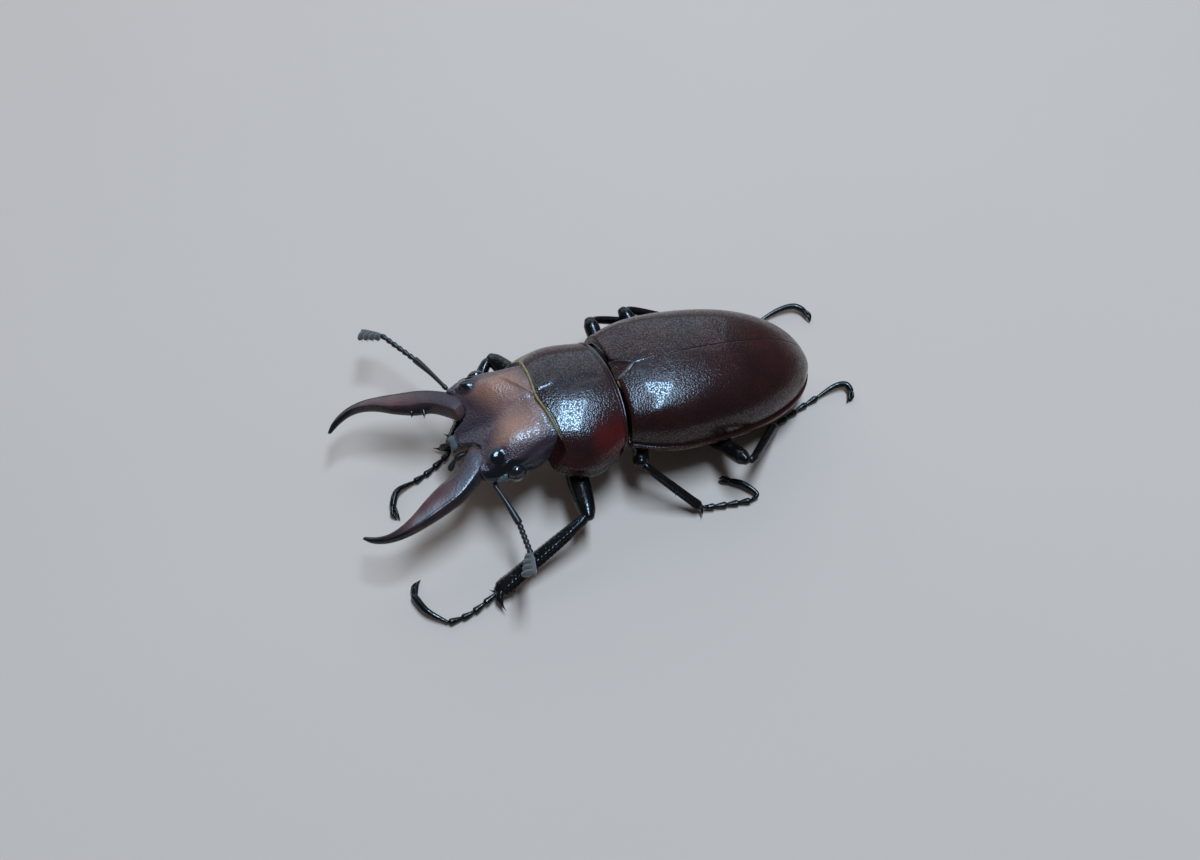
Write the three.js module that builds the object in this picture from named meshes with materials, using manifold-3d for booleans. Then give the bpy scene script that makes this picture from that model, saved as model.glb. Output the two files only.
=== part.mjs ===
import * as THREE from "three";
import { mergeVertices } from "three/addons/utils/BufferGeometryUtils.js";
import Module from "manifold-3d";

// A male saw stag beetle standing still, life size, in millimetres.
// +Z is up, the head points along -Y, and the animal's left side is +X.
// The trunk frame has the side margin of the wing cases at z = 0.
// Legs and feelers are placed in the stance frame, from the floor up.

const wasm = await Module();
wasm.setup();

// Stance
const trunkPitch = THREE.MathUtils.degToRad(-9); // the front of the body is raised
const trunkHeight = 4.6; // wing-case margin above the floor, under the middle of the body
const collarYaw = THREE.MathUtils.degToRad(3.5);
const collarHinge = new THREE.Vector3(4.5, -6.5, 0); // near the hind corner of the left side
const headPitch = THREE.MathUtils.degToRad(25.4);
const headYaw = THREE.MathUtils.degToRad(-2.3); // the head turns back against the collar
const neck = new THREE.Vector3(-0.2, -13.03, 1);
const parting = 0.06; // between neighbouring plates
const socketGap = 0.08; // round a ball that sits in its socket

// Wing cases: one dome, split along the back
const wing = {
  front: -6.7,
  apex: 14.1,
  widest: -1.5,
  shoulder: 6.35,
  half: 7.65,
  crest: 3,
  crown: 4.72,
  frontDrop: 1.25,
  taper: 2.3,
  bow: -0.2,
  thick: 0.55,
  ledge: 0.32,
  lip: 0.28,
  edge: -0.28,
};
const scutellum = { half: 1.15, length: 1.9, rise: 0.06 };
// Front segment of the trunk
const collar = {
  front: -13.6,
  back: -6.75,
  widest: -10.6,
  frontHalf: 6.05,
  half: 7.15,
  backHalf: 5.95,
  frontCrown: 2.25,
  backCrown: 2.95,
  swell: 0.3,
  frontMargin: -1,
  sag: 1.1,
  backMargin: -0.15,
  keel: -2.75,
  lean: 0.3,
  bow: 0.45, // the hind corners reach forward by this much
  skew: 0.15, // and the left one a little more
  corner: 1.6, // the front corners reach forward beside the head
  peak: 0.35, // the front margin runs forward in the middle
};
const belly = { split: 2.3, end: 13.35, depth: 2.75, sternites: 5, groove: 0.1 };
// Head, in its own frame: forward is -Y from the neck
const head = { front: 7.1, clypeus: 8.5, labrum: 9.3, depth: 3.15, knobX: 4.4, knobAt: 5.8 };
const eye = { x: 5.6, y: -4.5, z: -0.4, radius: 0.88, flat: 0.75 };
// Joint beads of feet, feelers and palps
const bead = { thin: 0.25, thick: 0.33 };

const material = (color, roughness) =>
  new THREE.MeshStandardMaterial({ color, roughness, metalness: 0 });
const shellBrown = material(0x2a0f0d, 0.22);
const collarBrown = material(0x3a1410, 0.25);
const headRed = material(0x5a2a20, 0.5);
const jawBrown = material(0x2c1518, 0.45);
const legBlack = material(0x0b090a, 0.25);
const bellyBlack = material(0x120b0a, 0.4);
const eyeBlack = material(0x050505, 0.08);
const feelerBlack = material(0x15100f, 0.4);
const clubGrey = material(0x4b4542, 0.7);
const labrumGrey = material(0x2b2d33, 0.5);

const lerp = THREE.MathUtils.lerp;
const smooth = (x, from, to) => THREE.MathUtils.smoothstep(x, from, to);
const bump = (x, middle, width) => Math.exp(-(((x - middle) / width) ** 2));
const point = (x, y, z) => new THREE.Vector3(x, y, z);
const signedPower = (value, power) => Math.sign(value) * Math.abs(value) ** power;

// Triangles that fill a simple closed ring, turning the same way as the ring.
function ringTriangles(ring) {
  const normal = point(0, 0, 0);
  ring.forEach((p, k) => normal.add(p.clone().cross(ring[(k + 1) % ring.length])));
  normal.normalize();
  const across = Math.abs(normal.x) < 0.9 ? point(1, 0, 0) : point(0, 1, 0);
  const u = across.cross(normal).normalize();
  const v = normal.clone().cross(u);
  const flat = ring.map((p) => new THREE.Vector2(p.dot(u), p.dot(v)));
  return THREE.ShapeUtils.triangulateShape(flat, []).map(([a, b, c]) => {
    const turn = flat[b].clone().sub(flat[a]).cross(flat[c].clone().sub(flat[a]));
    return turn > 0 ? [a, b, c] : [a, c, b];
  });
}

// A closed body through rings of equal count, with both ends filled.
function loft(rings) {
  const count = rings[0].length;
  const positions = rings.flat().flatMap((p) => [p.x, p.y, p.z]);
  const faces = [];
  for (let i = 0; i < rings.length - 1; i++) {
    for (let k = 0; k < count; k++) {
      const a = i * count + k;
      const b = i * count + ((k + 1) % count);
      faces.push([a, b, b + count], [a, b + count, a + count]);
    }
  }
  const last = (rings.length - 1) * count;
  ringTriangles(rings[0]).forEach(([a, b, c]) => faces.push([a, c, b]));
  ringTriangles(rings.at(-1)).forEach((face) => faces.push(face.map((k) => k + last)));
  const corner = (k) => point(positions[3 * k], positions[3 * k + 1], positions[3 * k + 2]);
  const volume = faces.reduce(
    (sum, [a, b, c]) => sum + corner(a).dot(corner(b).cross(corner(c))),
    0,
  );
  const turned = volume < 0 ? faces.map(([a, b, c]) => [a, c, b]) : faces;
  return geometryOf(positions, turned.flat());
}

function geometryOf(positions, index) {
  const geometry = new THREE.BufferGeometry();
  geometry.setAttribute("position", new THREE.Float32BufferAttribute(positions, 3));
  geometry.setIndex(index);
  return geometry;
}

function solidOf(geometry) {
  const merged = mergeVertices(geometry, 1e-4);
  return new wasm.Manifold(
    new wasm.Mesh({
      numProp: 3,
      vertProperties: merged.attributes.position.array,
      triVerts: new Uint32Array(merged.index.array),
    }),
  );
}

function fromSolid(solid) {
  const mesh = solid.getMesh();
  return geometryOf(Array.from(mesh.vertProperties), Array.from(mesh.triVerts));
}

const cut = (geometry, ...tools) =>
  fromSolid(tools.reduce((solid, tool) => solid.subtract(solidOf(tool)), solidOf(geometry)));
const join = (first, ...rest) =>
  fromSolid(rest.reduce((solid, piece) => solid.add(solidOf(piece)), solidOf(first)));

// A cross-section at y: a back and a belly, each of its own height and roundness,
// that meet at the side margin.
function section(count, y, { half, crown, margin, keel, back = 2.2, under = 2 }) {
  return Array.from({ length: count }, (_, k) => {
    const turn = (2 * Math.PI * k) / count;
    const over = Math.sin(turn) >= 0;
    const power = 2 / (over ? back : under);
    return point(
      half * signedPower(Math.cos(turn), power),
      y,
      margin + (over ? crown - margin : margin - keel) * signedPower(Math.sin(turn), power),
    );
  });
}

// An oval tube along a curve; a station is [share of the length, half width, half depth].
function limb(curve, stations, sides = 8, up = point(0, 0, 1), grow = 0) {
  const rings = stations.map(([share, wide, deep = wide]) => {
    const centre = curve.getPointAt(share);
    const along = curve.getTangentAt(share);
    const side = up.clone().cross(along).normalize();
    const rise = along.clone().cross(side);
    return Array.from({ length: sides }, (_, k) => {
      const turn = (2 * Math.PI * k) / sides;
      return centre
        .clone()
        .addScaledVector(side, (wide + grow) * Math.cos(turn))
        .addScaledVector(rise, (deep + grow) * Math.sin(turn));
    });
  });
  return loft(rings);
}

const straight = (from, to) => new THREE.LineCurve3(from, to);
const curved = (...points) => new THREE.CatmullRomCurve3(points, false, "centripetal");

// A tapered tooth or spine from its root to its tip.
function spine(root, tip, thick, sides = 4) {
  const bend = root.clone().lerp(tip, 0.5);
  return limb(curved(root, bend, tip), [[0, thick], [0.6, thick * 0.7], [1, thick * 0.3]], sides);
}

function ball(x, y, z, radius, { flat = 1, long = 1, sides = 10, rows = 6 } = {}) {
  const geometry = new THREE.SphereGeometry(radius, sides, rows);
  geometry.deleteAttribute("normal");
  geometry.deleteAttribute("uv");
  return mergeVertices(geometry.scale(flat, long, 1).translate(x, y, z), 1e-4);
}

const beetle = new THREE.Group();
const trunk = new THREE.Group();
trunk.rotation.x = trunkPitch;
trunk.position.z = trunkHeight;
const fore = new THREE.Group(); // the collar segment, with the head on it
fore.rotation.z = collarYaw;
fore.position.copy(collarHinge).sub(collarHinge.clone().applyEuler(fore.rotation));
const skull = new THREE.Group();
skull.rotation.set(headPitch, 0, headYaw, "ZXY");
skull.position.copy(neck);
fore.add(skull);
trunk.add(fore);
beetle.add(trunk);
beetle.updateMatrixWorld(true);

function addNode(group, name, geometry, finish) {
  const mesh = new THREE.Mesh(geometry, finish);
  mesh.name = name;
  group.add(mesh);
}

// ---- Wing cases, scutellum and the body under them ----

function wingHalf(y) {
  if (y < wing.widest) {
    const share = (y - wing.front) / (wing.widest - wing.front);
    return lerp(wing.shoulder, wing.half, Math.sin((Math.PI / 2) * Math.max(share, 0)));
  }
  const share = Math.min((y - wing.widest) / (wing.apex - wing.widest), 1);
  return wing.half * Math.sqrt(1 - share ** wing.taper);
}

function wingCrown(y) {
  if (y < wing.crest)
    return wing.crown - wing.frontDrop * ((wing.crest - y) / (wing.crest - wing.front)) ** 2;
  const share = Math.min((y - wing.crest) / (wing.apex - wing.crest), 1);
  return wing.crown * Math.sqrt(1 - share ** wing.taper);
}

// Half width of the scutellum at y; it narrows to a point between the wing cases.
const scutellumHalf = (y) =>
  scutellum.half * Math.max(0, 1 - ((y - wing.front) / scutellum.length) ** 1.4);

// The front edge of the wing cases bows forward at the shoulders.
const frontBow = (x, share) => wing.bow * (x / wing.shoulder) ** 2 * (1 - share) ** 3;

// One arch of a dome from the suture out to its foot.
function arch(y, half, crown, inner, corners, roundness = 2.3) {
  const start = Math.asin((inner / half) ** (roundness / 2));
  return Array.from({ length: corners }, (_, k) => {
    const turn = lerp(start, Math.PI / 2, k / (corners - 1));
    return point(
      half * Math.sin(turn) ** (2 / roundness),
      y,
      crown * Math.max(Math.cos(turn), 0) ** (2 / roundness),
    );
  });
}

function elytron(side) {
  const rings = [];
  const steps = 11;
  for (let i = 0; i <= steps; i++) {
    const share = Math.sin((Math.PI / 2) * (i / steps) * 0.97);
    const y = lerp(wing.front, wing.apex, share);
    const half = wingHalf(y);
    const crown = wingCrown(y);
    const inner = Math.max(scutellumHalf(y), 0) + parting / 2;
    const ledge = Math.min(wing.ledge, half * 0.12);
    const innerScale = Math.max(1 - wing.thick / half, 0.5);
    const outer = arch(y, half - ledge, crown - wing.lip * 0.5, inner, 8).map((p, k, all) =>
      p.setZ(p.z + wing.lip * 0.5 * (k < all.length - 1 ? 1 : 0.4)),
    );
    const rim = [
      point(half - 0.08, y, wing.lip),
      point(half, y, 0),
      point(half - 0.15, y, wing.edge),
    ];
    const inside = arch(y, (half - ledge) * innerScale, crown - wing.thick, inner, 6)
      .map((p) => p.setZ(p.z + wing.edge * (1 - Math.min(p.z, 1))))
      .reverse();
    rings.push(
      [...outer, ...rim, ...inside].map((p) =>
        point(side * p.x, p.y + frontBow(p.x, share), p.z),
      ),
    );
  }
  return loft(rings);
}

function scutellumPlate() {
  const rings = [];
  for (const share of [0, 0.3, 0.6, 0.85, 0.99]) {
    const y = wing.front + scutellum.length * share;
    const half = Math.max(scutellumHalf(y) - parting / 2, 0.06);
    const top = wingCrown(y) + scutellum.rise - 0.25 * (1 - share) ** 2;
    const low = wingCrown(y) - wing.thick;
    rings.push([
      point(half, y, top - 0.12),
      point(half * 0.6, y, top),
      point(-half * 0.6, y, top),
      point(-half, y, top - 0.12),
      point(-half, y, low),
      point(half, y, low),
    ]);
  }
  return loft(rings);
}

// The soft-sided body that the wing cases cover, flush with their inside.
function bodyRing(y, depth, inset = 0) {
  const half = (wingHalf(y) - wing.ledge) * Math.max(1 - wing.thick / wingHalf(y), 0.5) - parting;
  return section(18, y, {
    half: half - inset,
    crown: wingCrown(y) - wing.thick - 0.12 - inset,
    margin: -0.15,
    keel: -depth + inset,
    back: 2.15,
    under: 1.85,
  });
}

function thorax() {
  // A short waist fills the joint behind the collar and meets its turned hind face.
  const waist = bodyRing(wing.front, belly.depth * 0.8, 0.8).map((p) =>
    p
      .setY(collar.back + parting + 0.04 - collar.bow * 0.8 * (p.x / collar.backHalf) ** 2)
      .applyMatrix4(fore.matrix),
  );
  const rings = [waist, bodyRing(wing.front - 0.06, belly.depth * 0.8, 0.75)];
  for (const share of [0, 0.15, 0.4, 0.7, 1]) {
    const y = lerp(wing.front - 0.05, belly.split - parting / 2, share);
    rings.push(bodyRing(y, belly.depth * lerp(0.86, 1, Math.sin((Math.PI / 2) * share))));
  }
  return loft(rings);
}

function abdomen() {
  const rings = [];
  const last = belly.sternites * 2;
  for (let i = 0; i <= last; i++) {
    const share = i / last;
    const y = lerp(belly.split + parting / 2, belly.end, share ** 0.93);
    const dip = i % 2 === 0 && i > 0 && i < last ? belly.groove : 0;
    rings.push(bodyRing(y, (belly.depth - dip) * Math.sqrt(1 - (0.86 * share) ** 3)));
  }
  return loft(rings);
}

// ---- Collar segment ----

function collarRing(share, shrink = 0) {
  const y = lerp(collar.front, collar.back, share);
  const half =
    y < collar.widest
      ? lerp(
          collar.frontHalf,
          collar.half,
          Math.sin((Math.PI / 2) * ((y - collar.front) / (collar.widest - collar.front))),
        )
      : lerp(
          collar.backHalf,
          collar.half,
          Math.cos((Math.PI / 2) * ((y - collar.widest) / (collar.back - collar.widest))),
        );
  const arc = Math.sin(Math.PI * share);
  const ring = section(22, y, {
    half: half - shrink,
    crown: lerp(collar.frontCrown, collar.backCrown, share) + collar.swell * arc - shrink,
    margin: lerp(collar.frontMargin, collar.backMargin, share) - collar.sag * arc ** 0.8,
    keel: collar.keel * lerp(0.82, 1, arc) + shrink,
    back: 2.25,
    under: 1.9,
  });
  return ring.map((p) => {
    const lean = collar.lean * (collar.frontCrown - p.z) * (1 - share) ** 2;
    const peak = collar.peak * bump(p.x, 0, 1.7) * smooth(p.z, 0.3, 1.8) * (1 - share) ** 4;
    const corner =
      collar.corner * smooth(collar.frontCrown - p.z, 1.6, 3.4) * (1 - share) ** 2;
    const across = p.x / collar.backHalf;
    const bow = (collar.bow * across ** 2 + collar.skew * across) * share ** 3;
    return p.setY(p.y + lean - peak - corner - bow);
  });
}

function pronotum() {
  const stations = [
    [0, 0.12],
    [0.03, 0],
    [0.13, 0],
    [0.27, 0],
    [0.42, 0],
    [0.56, 0],
    [0.7, 0],
    [0.83, 0],
    [0.92, 0.02],
    [0.945, 0.1],
    [0.965, 0],
    [1, 0.08],
  ];
  return loft(stations.map(([share, shrink]) => collarRing(share, shrink)));
}

// ---- Head ----

// Half width of the head at a distance forward of the neck: it widens to the cheeks.
function headHalf(f) {
  const temple = lerp(4.65, 5.6, smooth(f, 0, 5.2));
  const cheek = 0.12 * bump(f, 6, 1) - 0.45 * bump(f, 7.6, 0.7);
  return temple + cheek;
}

// The forehead is hollowed between two ridges that run out to the knobs in front of the eyes.
function headRelief(x, f) {
  const ridgeX = lerp(0.6, 4.35, smooth(f, 0, 5.6));
  const ridge = 0.3 * bump(Math.abs(x), ridgeX, 1.2) * smooth(f, 0.8, 3);
  const knob = 0.65 * bump(Math.abs(x), head.knobX, 0.85) * bump(f, head.knobAt, 0.95);
  const hollow = -0.45 * bump(x, 0, 2.4) * smooth(f, 2.2, 6);
  return ridge + knob + hollow;
}

function headRing(f) {
  const front = smooth(f, 2.5, 6);
  return section(22, -f, {
    half: headHalf(f),
    crown: lerp(1.02, 1.25, smooth(f, 0, 1.4)) - 0.3 * smooth(f, 3, head.front),
    margin: lerp(-1.0, -0.2, front),
    keel: -head.depth + 1.6 * smooth(f, 3.5, head.front),
    back: lerp(3.2, 3.9, front),
    under: 2.6,
  }).map((p) => {
    const top = THREE.MathUtils.clamp((p.z + 0.1) / 0.7, 0, 1);
    return p.setZ(p.z + top * headRelief(p.x, f));
  });
}

// The clypeus narrows from between the jaws to the upper lip.
function lipRing(f, half, top, low, notch = 0) {
  return Array.from({ length: 10 }, (_, k) => {
    const turn = (2 * Math.PI * k) / 10;
    const x = half * signedPower(Math.cos(turn), 0.7);
    const z = (top + low) / 2 + ((top - low) / 2) * signedPower(Math.sin(turn), 0.8);
    return point(x, -(f - notch * bump(x, 0, 0.35)), z);
  });
}

function makeHead() {
  const stations = [0, 0.8, 1.6, 2.4, 3.2, 4, 4.7, 5.3, 5.8, 6.3, 6.75, head.front];
  const block = loft(stations.map(headRing));
  const clypeus = loft([
    lipRing(6.6, 2, 0.62, -0.9),
    lipRing(7.3, 1.7, 0.6, -0.7),
    lipRing(8, 1.35, 0.55, -0.5),
    lipRing(head.clypeus, 1.1, 0.45, -0.4),
  ]);
  const sockets = [-1, 1].flatMap((side) => [
    ball(side * eye.x, eye.y, eye.z, eye.radius + socketGap, { flat: eye.flat }),
    loft(jawRings(side, socketGap).slice(0, 3)),
  ]);
  // The back of the head is fitted to the front face of the collar.
  const toSkull = skull.matrix.clone().invert();
  const collarTool = pronotum().translate(0, -parting, 0).applyMatrix4(toSkull);
  return cut(join(block, clypeus), ...sockets, collarTool);
}

function makeLabrum() {
  return loft([
    lipRing(head.clypeus + parting, 1.05, 0.35, -0.35),
    lipRing(head.clypeus + 0.45, 1.15, 0.33, -0.33, 0.05),
    lipRing(head.labrum, 0.8, 0.2, -0.3, 0.4),
  ]);
}

// Jaw outline in plan: inner and outer edge at the same stations, from the rounded root
// that sits in the front of the head to the tip.
const jaw = {
  inner: [
    [2.4, 6.65],
    [1.95, 7.3],
    [2.95, 8.3],
    [3.65, 9.5],
    [4.05, 11],
    [4.95, 12.6],
    [5.95, 14],
    [6.55, 15.2],
    [6.72, 16.35],
    [6.45, 17.5],
    [5.85, 18.55],
  ],
  outer: [
    [4.3, 6.85],
    [4.95, 7.5],
    [5.8, 8.7],
    [6.45, 10],
    [6.95, 11.6],
    [7.35, 13.2],
    [7.6, 14.8],
    [7.55, 16.2],
    [7.22, 17.35],
    [6.65, 18.25],
    [5.98, 18.82],
  ],
  depth: [0.65, 0.88, 0.88, 0.82, 0.74, 0.65, 0.56, 0.46, 0.36, 0.28, 0.16],
  middle: [0.35, 0.42, 0.6, 0.85, 1.05, 1.22, 1.35, 1.42, 1.48, 1.5, 1.5],
};

function jawRings(side, grow = 0) {
  return jaw.inner.map(([xi, fi], i) => {
    const [xo, fo] = jaw.outer[i];
    return Array.from({ length: 10 }, (_, k) => {
      const turn = (2 * Math.PI * k) / 10;
      const share = (1 - signedPower(Math.cos(turn), 0.85)) / 2;
      const rise = (jaw.depth[i] + grow) * signedPower(Math.sin(turn), 0.85);
      const x = lerp(xo + grow, xi - grow, share);
      return point(side * x, grow - lerp(fo, fi, share), jaw.middle[i] + rise);
    });
  });
}

function makeJaw(side) {
  const tooth = (x, f, tipX, tipF, z, thick) =>
    spine(point(side * x, -f, z), point(side * tipX, -tipF, z), thick);
  const teeth =
    side < 0
      ? [tooth(4.2, 10.3, 3.15, 10.4, 1.05, 0.34), tooth(4, 9.3, 2.85, 9.3, 0.9, 0.5)]
      : [tooth(3.9, 9, 2.85, 9, 0.85, 0.45), tooth(3.4, 8.2, 2.35, 8.35, 0.7, 0.4)];
  return join(loft(jawRings(side)), ...teeth);
}

// ---- Feelers and palps ----

// Stations are [share of the length, half width, half depth].
const feeler = {
  scape: [
    [0, 0.27],
    [0.3, 0.25],
    [0.75, 0.32],
    [1, 0.36],
  ],
  beads: 5,
  stem: [
    [0, 0.25],
    [0.6, 0.27],
    [1, 0.25],
  ],
  leaf: [
    [0, 0.24, 0.34],
    [0.6, 0.25, 0.45],
    [1, 0.2, 0.3],
  ],
  leafPlaces: [0.3, 0.6, 0.9],
  leafLength: 0.9,
  leafGrowth: 0.15,
};

// A string of beads: each bead widens towards its far end.
function beads(count, thin, thick, from = 0, to = 1) {
  const stations = [];
  for (let i = 0; i < count; i++) {
    const start = lerp(from, to, i / count);
    const step = (to - from) / count;
    stations.push([start + step * 0.05, thin], [start + step * 0.85, thick]);
  }
  return stations;
}

function addFeeler(name, side, { root, elbow, wrist, tip }) {
  const rise = root.clone().lerp(elbow, 0.5).add(point(0, 0, 0.15));
  const scape = limb(curved(root, rise, elbow), feeler.scape, 6);
  addNode(beetle, `antenna_${name}_scape`, scape, feelerBlack);

  const toWrist = wrist.clone().sub(elbow).normalize();
  const start = elbow.clone().addScaledVector(toWrist, 0.5);
  const funicle = limb(straight(start, wrist), beads(feeler.beads, bead.thin, bead.thick), 6);
  addNode(beetle, `antenna_${name}_funicle`, funicle, feelerBlack);

  // The club is a comb with its leaves on one side of the stem.
  const along = tip.clone().sub(wrist);
  const leafWay = point(side * along.y, -side * along.x, 0).normalize();
  const leaves = feeler.leafPlaces.map((share, i) => {
    const from = wrist.clone().addScaledVector(along, share);
    const length = feeler.leafLength + feeler.leafGrowth * i;
    const reach = from.clone().addScaledVector(leafWay, length).addScaledVector(along, 0.1);
    return limb(straight(from, reach), feeler.leaf, 4);
  });
  const stemStart = wrist.clone().addScaledVector(along, 0.06);
  const stem = limb(straight(stemStart, tip), feeler.stem, 6);
  addNode(beetle, `antenna_${name}_club`, join(stem, ...leaves), clubGrey);
}

function makePalp(side) {
  const root = point(side * 1.05, -head.front - parting, -1.25);
  const knee = point(side * 0.85, -9, -1);
  const tip = point(side * 1.3, -10.2, -1.65);
  return limb(curved(root, knee, tip), beads(3, bead.thin, bead.thick), 6);
}

// ---- Legs ----

// The tibia leaves the knee outward and then turns into its own line, as a folded leg does.
function shinCurve(leg, start) {
  const thigh = leg.knee.clone().sub(leg.hip).normalize();
  const shin = leg.ankle.clone().sub(leg.knee).normalize();
  const out = thigh.clone().multiplyScalar(leg.fold).add(shin).normalize();
  const root = leg.knee.clone().addScaledVector(out, start);
  const bend = root.clone().addScaledVector(out, 0.35).addScaledVector(shin, 0.6);
  return curved(root, bend, leg.ankle);
}

// Flat soles: nothing goes below the floor.
function settle(geometry) {
  const position = geometry.getAttribute("position");
  for (let i = 0; i < position.count; i++) position.setZ(i, Math.max(position.getZ(i), 0));
  return geometry;
}

function coxaShape(leg, grow = 0) {
  const inner = leg.hip.clone().add(point(-Math.sign(leg.hip.x) * 1.9, leg.coxaTurn, -0.1));
  const stations = [
    [0, 0.45, 0.4],
    [0.2, 0.85, 0.7],
    [0.55, 1.0, 0.8],
    [0.85, 0.85, 0.72],
    [1, 0.55, 0.5],
  ];
  return limb(straight(inner, leg.hip), stations, 7, point(0, 0, 1), grow);
}

function thighShape(leg, grow = 0) {
  const [thick, deep] = leg.thigh;
  const stations = [
    [0, 0.5, 0.46],
    [0.12, 0.62, 0.54],
    [0.38, thick, deep],
    [0.68, thick * 0.95, deep * 0.95],
    [0.93, 0.74, 0.7],
    [1, 0.5, 0.48],
  ];
  const way = leg.knee.clone().sub(leg.hip).normalize();
  const start = leg.hip.clone().addScaledVector(way, parting);
  const end = leg.knee.clone().addScaledVector(way, 0.45);
  return limb(straight(start, end), stations, 8, point(0, 0, 1), grow);
}

function shinShape(leg) {
  const [root, middle, end, flatness] = leg.shin;
  const curve = shinCurve(leg, 0.55);
  const stations = [
    [0, root * 0.8],
    [0.08, root],
    [0.3, middle, middle * flatness],
    [0.6, lerp(middle, end, 0.45), middle * flatness],
    [0.85, end * 0.95, middle * flatness],
    [0.96, end, middle * flatness],
    [1, end * 0.7, middle * 0.7],
  ];
  const spines = leg.spines.map(([share, reach, forward, thick, drop = 0]) => {
    const base = curve.getPointAt(share);
    const along = curve.getTangentAt(share);
    const side = point(0, 0, 1).cross(along).normalize().multiplyScalar(leg.outward);
    const tip = base
      .clone()
      .addScaledVector(side, reach)
      .addScaledVector(along, forward)
      .add(point(0, 0, drop));
    return spine(base, tip, thick);
  });
  return join(limb(curve, stations), ...spines);
}

function footShape(leg) {
  const route = curved(...leg.foot);
  return settle(limb(route, beads(4, bead.thin, bead.thick), 6));
}

// The long last segment and its pair of claws.
const toe = {
  body: [
    [0, 0.25],
    [0.35, 0.27],
    [0.8, 0.36],
    [0.95, 0.36],
    [1, 0.25],
  ],
  claw: [
    [0, 0.24],
    [0.5, 0.2],
    [1, 0.1],
  ],
  spread: 0.42,
  arch: 0.16,
};

function clawShape(leg) {
  const route = curved(...leg.toe);
  const end = route.getPointAt(0.93);
  const along = route.getTangentAt(1);
  const side = point(0, 0, 1).cross(along).normalize();
  const claws = [-1, 1].map((way) => {
    const spread = side.clone().multiplyScalar(way * toe.spread);
    const middle = end.clone().lerp(leg.clawTip, 0.5).addScaledVector(along, 0.3);
    middle.add(spread).setZ(middle.z + toe.arch);
    const tip = leg.clawTip.clone().addScaledVector(spread, 0.6);
    return limb(curved(end, middle, tip), toe.claw, 5);
  });
  return settle(join(limb(route, toe.body, 6), ...claws));
}

const foreTeeth = [
  [0.56, 0.85, 0.15, 0.18],
  [0.71, 1.0, 0.25, 0.22],
  [0.86, 1.3, 0.35, 0.3],
  [0.955, 1.75, 0.95, 0.42, -0.15],
  [0.97, -0.75, 0.85, 0.22, -0.05],
];
const hindTeeth = [
  [0.55, 0.85, 0.3, 0.16],
  [0.97, 0.85, 0.75, 0.22, -0.05],
  [0.97, -0.7, 0.8, 0.2, -0.05],
];

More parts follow.
